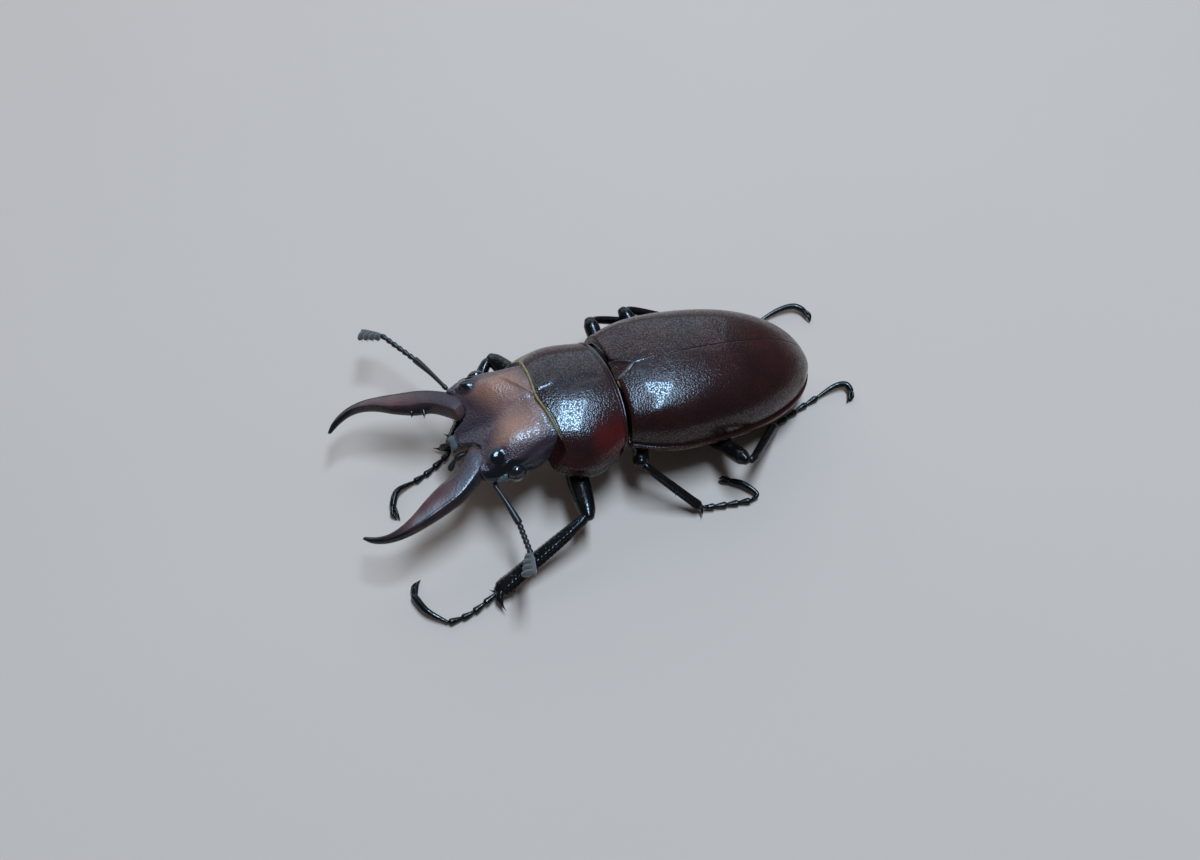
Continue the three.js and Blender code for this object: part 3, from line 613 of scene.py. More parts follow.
def wingCrown(y):
    if y >= wing["crest"]:
        return taperedFrom(y, "crest", "crown")
    share = (wing["crest"] - y) / (wing["crest"] - wing["front"])
    return wing["crown"] - wing["frontDrop"] * share ** wing["dropPower"]


def scutellumHalf(y):
    share = max((y - wing["front"]) / scutellum["length"], 0)
    return scutellum["half"] * max(0, 1 - share ** scutellum["taper"])


def arch(y, half, crown, inner, corners):
    # from the seam, where the points lie close together, out to the side
    power = wing["roundness"]
    start = math.asin(min(inner / half, 1))
    points = []
    for share in shares(corners - 1):
        across = math.sin(lerp(start, math.pi / 2, share**1.5))
        points.append(Vector((half * across, y, crown * max(1 - across**power, 0) ** (1 / power))))
    return points


def wingRing(side, share, roll=0.0):
    y = lerp(wing["front"], wing["apex"], share)
    half, crown = wingHalf(y), wingCrown(y)
    inner = scutellumHalf(y) + wing["parting"] / 2
    ledge = min(wing["ledge"], half * 0.12)
    lip = wing["lip"] * min(1, half / 2)
    # on the right case the dip at the seam fades behind the scutellum
    dip = wing["seamDip"] * (1 if side > 0 else 1 - 0.8 * smooth(y, -4.3, -3.2))
    ring = []
    for p in arch(y, half - ledge, crown - wing["lip"] * 0.5, inner, wing["corners"]):
        foot = smooth(p.x, half - ledge - 0.5, half - ledge)
        p.z += lip * lerp(0.5, 0.2, foot) - dip * bump(p.x - inner, 0, wing["seamWidth"]) - roll
        p.z += knoll(p.x, y, *wing["shoulderSwell"]) + knoll(p.x, y, *wing["shoulderKnob"])
        ring.append(p)
    for inward, rise in wing["rim"]:
        ring.append(Vector((half - inward, y, (lip if rise > 0 else wing["edge"]) * rise)))
    scale = max(1 - wing["thick"] / half, 0.5)
    inside = arch(y, (half - ledge) * scale, crown - wing["thick"], inner, wing["insideCorners"])
    ring += [Vector((p.x, y, p.z - wing["edge"] * (1 - min(p.z, 1)))) for p in reversed(inside)]
    bow = wing["bow"] * (1 - share) ** 3
    ring = [Vector((side * p.x, p.y + bow * (p.x / wing["shoulder"]) ** 2, p.z)) for p in ring]
    # browner along the margin and at the tail in the shell's own tone; the strong brown along the right
    # case's margin is a painted reflection of brown ground
    tail = smooth(share, 0.72, 0.98)
    margin = 0.75 if side < 0 else 0.08 + 0.3 * tail
    tint, mark = [], []
    for p in ring:
        out = abs(p.x)
        brownToneAndReflection = margin * smooth(out, half - 0.6, half - 0.1) + 0.3 * tail * smooth(out, half - 2, half)
        tint.append(clamp(brownToneAndReflection))
        mark.append(knoll(out, y, *wing["punctures"]))
    return ring, tint, mark


def makeElytron(name, side):
    rows = [wingRing(side, 0.0, roll) for roll in wing["frontRolls"]]
    # closer rings towards the tail, the last just short of the apex
    rows += [wingRing(side, math.sin(math.pi / 2 * share * 0.975)) for share in shares(wing["steps"])]
    finishPiece(loftRows("wingcase_" + name, rows, trunkPose), "shell_brown", "elytron_" + name)


def makeScutellum():
    rings, marks, glows = [], [], []
    for share in shares(scutellum["steps"]):
        y = wing["front"] - 0.1 + (scutellum["length"] + 0.08) * share
        half = max(scutellumHalf(y) - wing["parting"] / 2, 0.04)
        top = wingCrown(y) + scutellum["rise"] - 0.3 * (1 - share) ** 2
        ring = []
        for k in range(2 * scutellum["corners"] + 1):
            u = 1 - k / scutellum["corners"]
            # a raised rim of even width along both hind edges
            edge = bump(half * (1 - abs(u)), 0.08, scutellum["rimWidth"]) * smooth(share, 0.05, 0.3)
            ring.append(Vector((half * u, y, top + scutellum["rim"] * edge)))
        ring += [Vector((half * u, y, top - scutellum["thick"])) for u in (-1, -0.4, 0.4, 1)]
        rings.append(ring)
        marks.append([0.7 * bump(p.x, 0, half * 0.5 + 0.01) for p in ring])
        glows.append([smooth(abs(p.x), half - 0.4, half - 0.25) for p in ring])
    piece = loft("scutellum_plate", rings, trunkPose, None, marks, glows)
    finishPiece(piece, "shell_brown", "scutellum")


makeElytron("left", 1)
makeElytron("right", -1)
makeScutellum()
print("wing cases made")

# ---- body under the wing cases ----

belly = {
    "split": 2.3, "end": 13.35, "depth": 2.75, "sternites": 5, "groove": 0.14, "margin": -0.15, "columns": 72,
    "sideGap": 0.06, "topGap": 0.12, "back": 2.15, "under": 1.85,
    # thorax: grooves behind the middle and hind hips as (place, width), and the seam of the breast plate
    "hipGroove": 0.12, "hipGrooves": ((-1.6, 0.12), (1.1, 0.1)), "seam": 0.14, "seamWidth": 0.16,
    "necks": 3, "thoraxSteps": 30, "abdomenSteps": 100,
}


def bodyRing(y, depth, inset=0.0):
    half = wingHalf(y)
    half = (half - wing["ledge"]) * max(1 - wing["thick"] / max(half, 0.01), 0.5) - belly["sideGap"]
    crown = wingCrown(y) - wing["thick"] - belly["topGap"]
    return section(belly["columns"], y, half - inset, crown - inset, belly["margin"], inset - depth,
                   belly["back"], belly["under"])


def makeThorax():
    front, neckDepth = wing["front"], belly["depth"] * 0.8
    rings = [bodyRing(front - 0.5 + 0.25 * k, neckDepth, 0.9 - 0.1 * k) for k in range(belly["necks"])]
    for share in shares(belly["thoraxSteps"]):
        y = lerp(front + 0.12, belly["split"] - 0.03, share)
        dip = sum(belly["hipGroove"] * bump(y, place, width) for place, width in belly["hipGrooves"])
        rings.append(bodyRing(y, belly["depth"] * lerp(0.86, 1, math.sin(math.pi / 2 * share)) - dip))
    for ring in rings:
        for p in ring:
            p.z += belly["seam"] * bump(p.x, 0, belly["seamWidth"]) * (p.z < -1)
    finishPiece(loft("breast", rings, trunkPose), "belly_black", "thorax")


def makeAbdomen():
    rings = []
    for share in shares(belly["abdomenSteps"]):
        y = lerp(belly["split"] + 0.03, belly["end"], share**0.93)
        phase = share * belly["sternites"]
        step = phase - math.floor(phase)
        grooved = 0.2 < phase < belly["sternites"] - 0.2
        dip = belly["groove"] * (bump(step, 0, 0.07) + bump(step, 1, 0.07)) * grooved
        # each plate rises a little over the next one
        depth = belly["depth"] * math.sqrt(1 - (0.86 * share) ** 3) - 0.08 * (1 - step) * (share > 0.02)
        rings.append(bodyRing(y, depth - dip))
    finishPiece(loft("belly_plates", rings, trunkPose), "belly_black", "abdomen")


makeThorax()
makeAbdomen()

# ---- collar segment ----

collar = {
    "front": -13.6, "back": -6.63, "widest": -10.6, "frontHalf": 6.05, "half": 7.15, "backHalf": 5.95,
    "frontCrown": 2.25, "backCrown": 2.95, "swell": 0.24, "frontMargin": -1, "sag": 1.1, "backMargin": -0.15,
    "keel": -2.75, "lean": 0.3, "bow": 0.45, "skew": 0.15, "corner": 1.6, "peak": 0.35,
    "roundBack": 2.25, "roundUnder": 1.9, "columns": 220, "steps": 120,
    "sideBead": (0.1, 0, 0.07), "sideGroove": (0.07, 0.2, 0.08),  # height, place and width
    "crease": 0.09, "furrow": 0.04,  # the short ridge in front, and the shallow furrow down the middle
}


def collarBeads(share):
    # how far the surface lies in: raised rims at both ends, each with a groove beside it
    front = 0.2 * (1 - smooth(share, 0, 0.012)) + 0.02 * bump(share, 0.03, 0.01)
    hind = 0.09 * bump(share, 0.945, 0.014) - 0.075 * bump(share, 0.982, 0.02) + 0.2 * smooth(share, 0.992, 1)
    return front + hind


def collarRing(share, inward):
    c = collar
    y = lerp(c["front"], c["back"], share)
    quarter = math.pi / 2
    if y < c["widest"]:
        part = math.sin(quarter * (y - c["front"]) / (c["widest"] - c["front"]))
        half = lerp(c["frontHalf"], c["half"], part)
    else:
        part = math.cos(quarter * (y - c["widest"]) / (c["back"] - c["widest"]))
        half = lerp(c["backHalf"], c["half"], part)
    bow = math.sin(math.pi * clamp(share))
    crown = lerp(c["frontCrown"], c["backCrown"], share) + c["swell"] * bow - inward
    margin = lerp(c["frontMargin"], c["backMargin"], share) - c["sag"] * bow**0.8
    keel = c["keel"] * lerp(0.82, 1, bow) + inward
    ring = section(c["columns"], y, half - inward, crown, margin, keel, c["roundBack"], c["roundUnder"])
    beadHeight, *bead = c["sideBead"]
    grooveDepth, *groove = c["sideGroove"]
    for k, p in enumerate(ring):
        turn = 2 * math.pi * k / c["columns"]
        fromEdge = min(turn, abs(turn - math.pi), 2 * math.pi - turn)
        over = math.sin(turn) > -0.02
        rim = beadHeight * bump(fromEdge, *bead) - grooveDepth * bump(fromEdge, *groove) * over
        p.x += math.copysign(rim, p.x)
        lean = c["lean"] * (c["frontCrown"] - p.z) * (1 - share) ** 2
        peak = c["peak"] * bump(p.x, 0, 1.7) * smooth(p.z, 0.3, 1.8) * (1 - share) ** 4
        corner = c["corner"] * smooth(c["frontCrown"] - p.z, 1.6, 3.4) * (1 - share) ** 2
        across = p.x / c["backHalf"]
        p.y += lean - peak - corner - (c["bow"] * across**2 + c["skew"] * across) * share**3
        if over:
            crease = bump(p.x, lerp(-0.62, -0.98, share / 0.3), 0.2) * between(share, 0, 0.05, 0.2, 0.34)
            furrow = bump(p.x, 0, 0.5) * between(share, 0.25, 0.45, 0.7, 0.9)
            p.z += c["crease"] * crease - c["furrow"] * furrow
    return ring


def makeCollar():
    rings, tints, glows = [], [], []
    for even in shares(collar["steps"]):
        share = clamp(even - 0.12 / math.pi * math.sin(2 * math.pi * even))  # closer rings at both ends
        ring = collarRing(share, collarBeads(share))
        rings.append(ring)
        # a red glow low on the hind sides, stronger on the left
        red = between(share, 0.3, 0.6, 0.9, 1)
        reds = [(0.8 if p.x > 0 else 0.45) * bump(abs(p.x), 5.6, 1.3) * smooth(p.z, -0.6, 0.6) for p in ring]
        tints.append([red * value for value in reds])
        glows.append([smooth(share, 0.95, 0.965)] * len(ring))
    finishPiece(loft("collar_plate", rings, forePose, tints, None, glows), "collar_brown", "pronotum")


makeCollar()
print("collar made")

# ---- head, in its own frame: forward is -Y from the neck, and f counts forward ----

head = {
    "front": 7.1, "clypeus": 8.5, "labrum": 9.3, "depth": 3.15, "columns": 220, "steps": 130,
    "nape": 4.65, "temple": 5.6, "knobX": 4.25, "knobAt": 5.55, "lobeX": 4.55, "lobeAt": 6.65,
    "templeSwell": (0.6, 3.1, 1.75, 4, 2.3),  # height, then middle and width across and forward
    "flatZ": -0.3, "rounding": 9, "flats": (0.3, 0.6, 0.85, 1),  # how the front closes
    # the lip shield: forward place, half width, top and underside
    "shield": ((6.6, 1.7, 0.36, -0.9), (7.3, 1.3, 0.36, -0.7),
               (8, 0.95, 0.34, -0.5), (8.5, 0.75, 0.32, -0.4)),
    "brow": ((5.1, -5.5, 0.98), (5.0, -5.1, 1.0), (4.8, -4.6, 1.0)),
    "browThick": ((0, 0.1), (0.4, 0.13), (1, 0.07)),
    "socket": (5.62, -6, 0.1), "socketSize": (0.75, 1.15, 0.62), "socketRadius": 0.5,
}


def headHalf(f):
    temple = lerp(head["nape"], head["temple"], smooth(f, 0, 5.2))
    return temple + 0.12 * bump(f, 6, 1) - 0.45 * bump(f, 7.6, 0.7)


def steepBump(distance, width):
    # flat on top, with a steep edge
    return math.exp(-((distance / width) ** 3.5))


def headRelief(x, f):
    # swollen temples, a hollow forehead between ridges that run out to the knobs, and a fine V at the nape
    out = abs(x)
    temple = knoll(out, f, *head["templeSwell"]) - 0.12 * (1 - smooth(f, 0, 1.8)) * smooth(out, 1.2, 2.8)
    ridge = 0.16 * bump(out, lerp(2.2, 4.35, smooth(f, 2, 5.6)), 1.1) * smooth(f, 2.5, 5.2)
    knobOut, knobOn = out - head["knobX"], f - head["knobAt"]
    knob = (0.42 + 0.55 * knobOn - 0.1 * knobOut) * steepBump(math.hypot(knobOut, knobOn), 0.68)
    lobeOut, lobeOn = out - head["lobeX"], f - head["lobeAt"]
    lobe = (0.2 + 0.5 * lobeOn) * steepBump(math.hypot(lobeOut, lobeOn), 0.5)
    hollow = -0.45 * bump(x, 0, 2.4) * smooth(f, 2.2, 6)
    nape = 0.14 * between(f, 0.1, 0.5, 1.8, 3.2) * (bump(x, -0.4, 0.26) + bump(x, 0.2 - 1.45 * f, 0.36))
    return temple + ridge + knob + lobe + hollow + nape


def headPaint(p, f):
    # how dark, with painted shade underneath, how polished and how red the head is at a point
    out = abs(p.x)
    fromKnob = math.hypot(out - head["knobX"], f - head["knobAt"])
    eyeOut, eyeOn, eyeUp = out - eye["x"], p.y - eye["y"] + eye["forward"], p.z - eye["z"] - eye["up"]
    fromEye = math.hypot(eyeOut / eye["flat"], eyeOn, eyeUp)
    dark = 0.85 * smooth(f - 0.55 * out, 2.9, 5)  # the hollow forehead
    # painted shade: the underside of the head is darkened
    dark += 1 - smooth(p.z, -0.3, 0.9)  # the underside
    dark += 0.85 * smooth(out, 3.3, 4.5) * (1 - smooth(f, 5, 6))  # the sides
    dark += 0.7 * (1 - smooth(f, 0, 1.4)) * smooth(out, 1.2, 3)  # the nape
    dark += 0.7 * (1 - smooth(fromKnob, 0.7, 1.3)) + 0.8 * smooth(out, 3.9, 4.7) * smooth(f, 5.4, 6.4)
    lobe = smooth(out, 4.7, 5.1) * smooth(f, 3.4, 4.6)
    cheek = (1 - smooth(p.z, 0.1, 0.85)) * smooth(f, 2.4, 3.6) * smooth(p.z, -2, -1.4)
    polish = 0.95 - smooth(fromKnob, 0.55, 0.85) + lobe + cheek + 0.9 * bump(fromEye, 0.8, 0.5)
    red = knoll(out, f, 0.7, 2.3, 1.5, 3, 2) * (1 - 0.75 * bump(p.x, -0.7, 0.9))
    return clamp(dark), clamp(polish), clamp(red)


def headRing(f, shrink=0.0, flat=0.0):
    front = smooth(f, 2.5, 6)
    crown = lerp(1.02, 1.25, smooth(f, 0, 1.4)) - 0.3 * smooth(f, 3, head["front"]) - shrink
    margin = lerp(-1, -0.2, front)
    keel = -head["depth"] + 1.6 * smooth(f, 3.5, head["front"]) + shrink
    ring = section(head["columns"], -f, headHalf(f) - shrink, crown, margin, keel, lerp(3.2, 3.9, front), 2.6)
    for p in ring:
        out = abs(p.x)
        p.z = lerp(p.z + clamp((p.z + 0.1) / 0.7) * headRelief(p.x, f), head["flatZ"], flat)
        # the front margin: forward at its angles and in the lip shield, back round the roots of the jaws
        reach = 0.5 * bump(out, 4.75, 0.7) + 1.25 * (1 - smooth(out, 0.6, 1.5)) - 0.5 * bump(out, 2.2, 0.6)
        p.y -= reach * smooth(f, 5.4, 7.1) * smooth(p.z, -0.6, 0.2)
    return ring, *zip(*(headPaint(p, f) for p in ring))


def lipRing(f, half, top, low, notch=0.0):
    ring = []
    columns = 40
    for k in range(columns):
        turn = 2 * math.pi * k / columns
        x = half * signedPower(math.cos(turn), 0.7)
        z = (top + low) / 2 + (top - low) / 2 * signedPower(math.sin(turn), 0.8)
        ring.append(Vector((x, -(f - notch * bump(x, 0, 0.35)), z)))
    return ring


def makeHead():
    roll = 0.15
    rows = [headRing(lerp(-0.5, head["front"] - roll, share)) for share in shares(head["steps"])]
    for share in shares(head["rounding"])[1:-1]:
        turn = math.pi / 2 * share
        rows.append(headRing(head["front"] + roll * (2 * math.sin(turn) - 1), 1.1 * (1 - math.cos(turn))))
    rows += [headRing(head["front"] + roll, 0.91, flat) for flat in head["flats"]]
    parts = [loftRows("skull_block", rows, skullPose)]
    columns = list(zip(*head["shield"]))
    lips = [lipRing(*(through(column, share) for column in columns)) for share in shares(30)]
    parts.append(loft("lip_shield", lips, skullPose, [[1.0] * len(lip) for lip in lips]))
    for side in (-1, 1):
        # the short brow that runs back from the knob over the eye
        rings = tubeRings([(side * x, y, z) for x, y, z in head["brow"]], head["browThick"], 14, 24)
        parts.append(loft("brow", rings, skullPose, None, [[0.95] * len(ring) for ring in rings]))
    finishPiece(joined("head_shell", parts), "head_red", "head")


def makeLabrum():
    rings = []
    for share in shares(19):
        end = smooth(share, 0.86, 1)
        half = through([0.7, 0.78, 0.74, 0.55], share) * (1 - 0.45 * end)
        top = lerp(0.35, 0.2, share) - 0.12 * end
        f = lerp(head["clypeus"] + 0.02, head["labrum"], share)
        rings.append(lipRing(f, half, top, lerp(-0.35, -0.3, share), 0.3 * share**2))
    finishPiece(loft("upper_lip", rings, skullPose), "labrum_grey", "labrum")


def makeEye(name, side):
    piece = ball(name + "_ball", 56, 40, eye["radius"], (eye["flat"], 1, 1))
    place = (side * eye["x"], eye["y"] - eye["forward"], eye["z"] + eye["up"])
    piece.data.transform(skullPose @ moved(place))
    finishPiece(piece, "eye_black", name)


def makeSocket(name, side):
    # the small knob on the head that the feeler springs from; its light bluish grey finish is a painted
    # reflection
    piece = ball(f"feeler_{name}_socket", 40, 28, head["socketRadius"], head["socketSize"])
    for vertex in piece.data.vertices:
        vertex.co.z -= 0.25 * side * vertex.co.x - 0.22 * vertex.co.y  # its top leans outward and back
        vertex.co.z -= 0.05 * bump(vertex.co.y, 0.1, 0.08)  # a groove across it
    x, y, z = head["socket"]
    piece.data.transform(skullPose @ moved((side * x, y, z)))
    # light bluish grey: a painted reflection on a knob that is glossy black
    finishPiece(piece, "labrum_grey")


makeHead()
makeLabrum()
makeSocket("left", 1)
makeSocket("right", -1)
makeEye("eye_left", 1)
makeEye("eye_right", -1)
print("head made")

# ---- jaws ----

jaw = {
    # inner and outer edge in plan at the same stations, from the root in the head to the tip
    "innerX": [2.2, 1.6, 2.65, 3.6, 4.05, 4.95, 5.95, 6.55, 6.72, 6.45, 5.85],
    "innerF": [6.65, 7.45, 8.45, 9.55, 11, 12.6, 14, 15.2, 16.35, 17.5, 18.55],
    "outerX": [4.3, 4.95, 5.8, 6.45, 6.95, 7.35, 7.6, 7.55, 7.22, 6.65, 5.98],
    "outerF": [6.85, 7.5, 8.7, 10, 11.6, 13.2, 14.8, 16.2, 17.35, 18.25, 18.82],
    "depth": [0.65, 0.88, 0.88, 0.82, 0.74, 0.65, 0.56, 0.46, 0.36, 0.28, 0.14],
    "middle": [0.45, 0.49, 0.57, 0.7, 0.92, 1.18, 1.4, 1.5, 1.52, 1.5, 1.5],
    "steps": 110, "columns": 132, "roundness": 0.85,
    # teeth: root, tip and thickness
    "teeth": {
        -1: [((4.45, 11.2, 1.0), (3.8, 11.3, 1.0), 0.3), ((4.2, 10.2, 0.9), (3.15, 10.3, 0.9), 0.3)],
        1: [((3.9, 9, 0.85), (2.85, 9, 0.9), 0.45), ((3.4, 8.2, 0.7), (2.35, 8.35, 0.75), 0.4),
            ((3.6, 8.7, 0.8), (2.75, 8.55, 1.05), 0.26)],
    },
    "palp": ((1.05, -7.12, -1.2), (0.85, -9, -1), (1.3, -10.2, -1.65)),
    "palpJoint": ((0, 0.15), (0.3, 0.2), (0.8, 0.3), (1, 0.24)),
}


def jawRing(side, share, shrink=0.0):
    columns = ("innerX", "innerF", "outerX", "outerF", "depth", "middle")
    innerX, innerF, outerX, outerF, depth, middle = (through(jaw[key], share) for key in columns)
    tip = smooth(share, 0.7, 1)
    root = 1 - smooth(share, 0.16, 0.45)
    ring, tint, mark, glow = [], [], [], []
    for k in range(jaw["columns"]):
        turn = 2 * math.pi * k / jaw["columns"]
        across = (1 - signedPower(math.cos(turn), jaw["roundness"])) / 2
        rise = signedPower(math.sin(turn), jaw["roundness"])
        if rise > 0:
            # the back is gently crowned, with a crisp rim outside and a softer fall to the inner edge
            edges = (1 - (1 - min(1, across / 0.17)) ** 2.5) * min(1, (1 - across) / 0.24) ** 0.6
            crowned = edges * (0.74 + 0.26 * math.sin(math.pi * across) ** 1.2 + 0.36 * (across - 0.5))
            rise = lerp(crowned, rise, tip)
        inner = smooth(across, 0.62, 0.95)
        outer = 1 - smooth(across, 0.17, 0.25)
        across = lerp(across, 0.5, shrink)
        rise *= depth * (1 - shrink)
        x, f = lerp(outerX, innerX, across), lerp(outerF, innerF, across)
        ring.append(Vector((side * x, -f, middle + rise)))
        # darker toward the tip, along the outer rim and underneath; along the inner edge the dark is partly
        # its own tone and partly a painted shade on the face below the crest
        dark = 0.95 * smooth(share, 0.55, 0.85) + 0.9 * inner * smooth(share, 0.1, 0.25)
        dark += 0.75 * outer * smooth(share, 0.02, 0.2) + 0.9 * (rise < 0)
        red = 0.5 * bump(across, 0.55, 0.22) * between(share, 0.28, 0.4, 0.45, 0.65)
        tint.append(clamp(dark))
        mark.append(0.95 * root * (1 - 0.5 * inner))
        glow.append(red + knoll(across, share, 0.7, 0.8, 0.12, 0.09, 0.03))
    return ring, tint, mark, glow


def makeJaw(name, side):
    rows = [jawRing(side, share) for share in shares(jaw["steps"])]
    rows += [jawRing(side, 1, shrink) for shrink in (0.5, 0.85)]
    parts = [loftRows("jaw_blade", rows, skullPose)]
    for (x, f, z), (tipX, tipF, tipZ), thick in jaw["teeth"][side]:
        root, tip = (side * x, -f, z), (side * tipX, -tipF, tipZ)
        tooth = thorn("jaw_tooth", root, tip, thick, skullPose, 0.1 * side)
        dark = [0.85] * len(tooth.data.vertices)
        tooth.data.attributes.new("tint", "FLOAT", "POINT").data.foreach_set("value", dark)
        parts.append(tooth)
    finishPiece(joined(name + "_horn", parts), "jaw_brown", name)


def makePalp(name, side):
    at = pathOf([(side * x, y, z) for x, y, z in jaw["palp"]])
    parts = []
    for i in range(3):
        points = [at((i + share) / 3)[0] for share in (0, 0.5, 0.97)]
        parts.append(tube("palp_joint", points, jaw["palpJoint"], 14, 12, skullPose))
    finishPiece(joined(name + "_feeler", parts), "feeler_black", name)


makeJaw("mandible_left", 1)
makeJaw("mandible_right", -1)
makePalp("palp_left", 1)
makePalp("palp_right", -1)
print("jaws made")

# ---- feelers ----

feelers = {
    "left": {"side": 1, "root": (5.9, -19.35, 5.2), "elbow": (9.6, -18.4, 4.2), "wrist": (13.4, -18.6, 5.2),
             "tip": (15.6, -19, 5.4)},
    "right": {"side": -1, "root": (-5.7, -20.3, 5.3), "elbow": (-10.15, -22, 5), "wrist": (-14.1, -24.2, 5),
              "tip": (-15.4, -25.9, 4.9)},
}
feelerShape = {
    "scape": [(0, 0.2), (0.06, 0.24), (0.12, 0.19), (0.45, 0.22), (0.8, 0.3), (1, 0.32)],
    "bead": [(0, 0.16), (0.25, 0.21), (0.75, 0.27), (1, 0.21)],
    "stem": [(0, 0.16), (0.2, 0.24), (0.85, 0.24), (1, 0.2)],
    "leaf": [(0, 0.17, 0.22), (0.45, 0.26, 0.42), (0.8, 0.25, 0.4), (1, 0.17, 0.25)],
    "rise": 0.15, "beads": 6, "leaves": [0.12, 0.36, 0.6, 0.84], "leafLength": 0.9,
}


def combAxes(name):
    # where the comb starts, how it runs, and which way its leaves stand
    f = feelers[name]
    wrist = Vector(f["wrist"])
    along = Vector(f["tip"]) - wrist
    return wrist, along, Vector((f["side"] * along.y, -f["side"] * along.x, 0)).normalized()


def leafReach(i):
    # the leaves grow longer towards the tip
    return feelerShape["leafLength"] * (0.55 + 0.17 * i)


def makeFeeler(name):
    root, elbow = (Vector(feelers[name][key]) for key in ("root", "elbow"))
    rise = root.lerp(elbow, 0.5) + Vector((0, 0, feelerShape["rise"]))
    scape = tube(f"feeler_{name}_shaft", [root, rise, elbow], feelerShape["scape"], 20, 40)
    finishPiece(scape, "feeler_black", f"antenna_{name}_scape")
    wrist, along, leafWay = combAxes(name)
    start = elbow + (wrist - elbow).normalized() * 0.2
    parts = []
    for i in range(feelerShape["beads"]):
        ends = [start.lerp(wrist, place / feelerShape["beads"]) for place in (i, i + 0.96)]
        parts.append(tube("feeler_bead", ends, feelerShape["bead"], 16, 10))
    finishPiece(joined(f"feeler_{name}_beads", parts), "feeler_black", f"antenna_{name}_funicle")
    parts = [tube("comb_stem", [wrist, wrist + along * 0.95], feelerShape["stem"], 16, 16)]
    for i, share in enumerate(feelerShape["leaves"]):
        base = wrist + along * share
        reach = base + leafWay * leafReach(i) + along * 0.06
        parts.append(tube("comb_leaf", [base, base.lerp(reach, 0.5), reach], feelerShape["leaf"], 18, 18))
    finishPiece(joined(f"feeler_{name}_comb", parts), "club_grey", f"antenna_{name}_club")


makeFeeler("left")
makeFeeler("right")
print("feelers made")

# ---- legs ----

# a tooth: share along the shin, reach to the side, reach forward, thickness and drop of its tip
foreTeeth = [
    (0.3, 0.52, 0.08, 0.13, 0), (0.43, 0.62, 0.1, 0.15, 0), (0.56, 0.85, 0.15, 0.2, 0),
    (0.71, 1, 0.25, 0.24, 0), (0.86, 1.3, 0.35, 0.32, 0), (0.955, 1.8, 1, 0.5, -0.15),
    (0.97, -0.75, 0.85, 0.2, -0.05),
]
hindTeeth = [
    (0.55, 0.85, 0.3, 0.14, 0), (0.97, 0.85, 0.75, 0.18, -0.05), (0.97, -0.7, 0.8, 0.16, -0.05),
    (0.98, 0.35, 0.7, 0.13, -0.1),
]
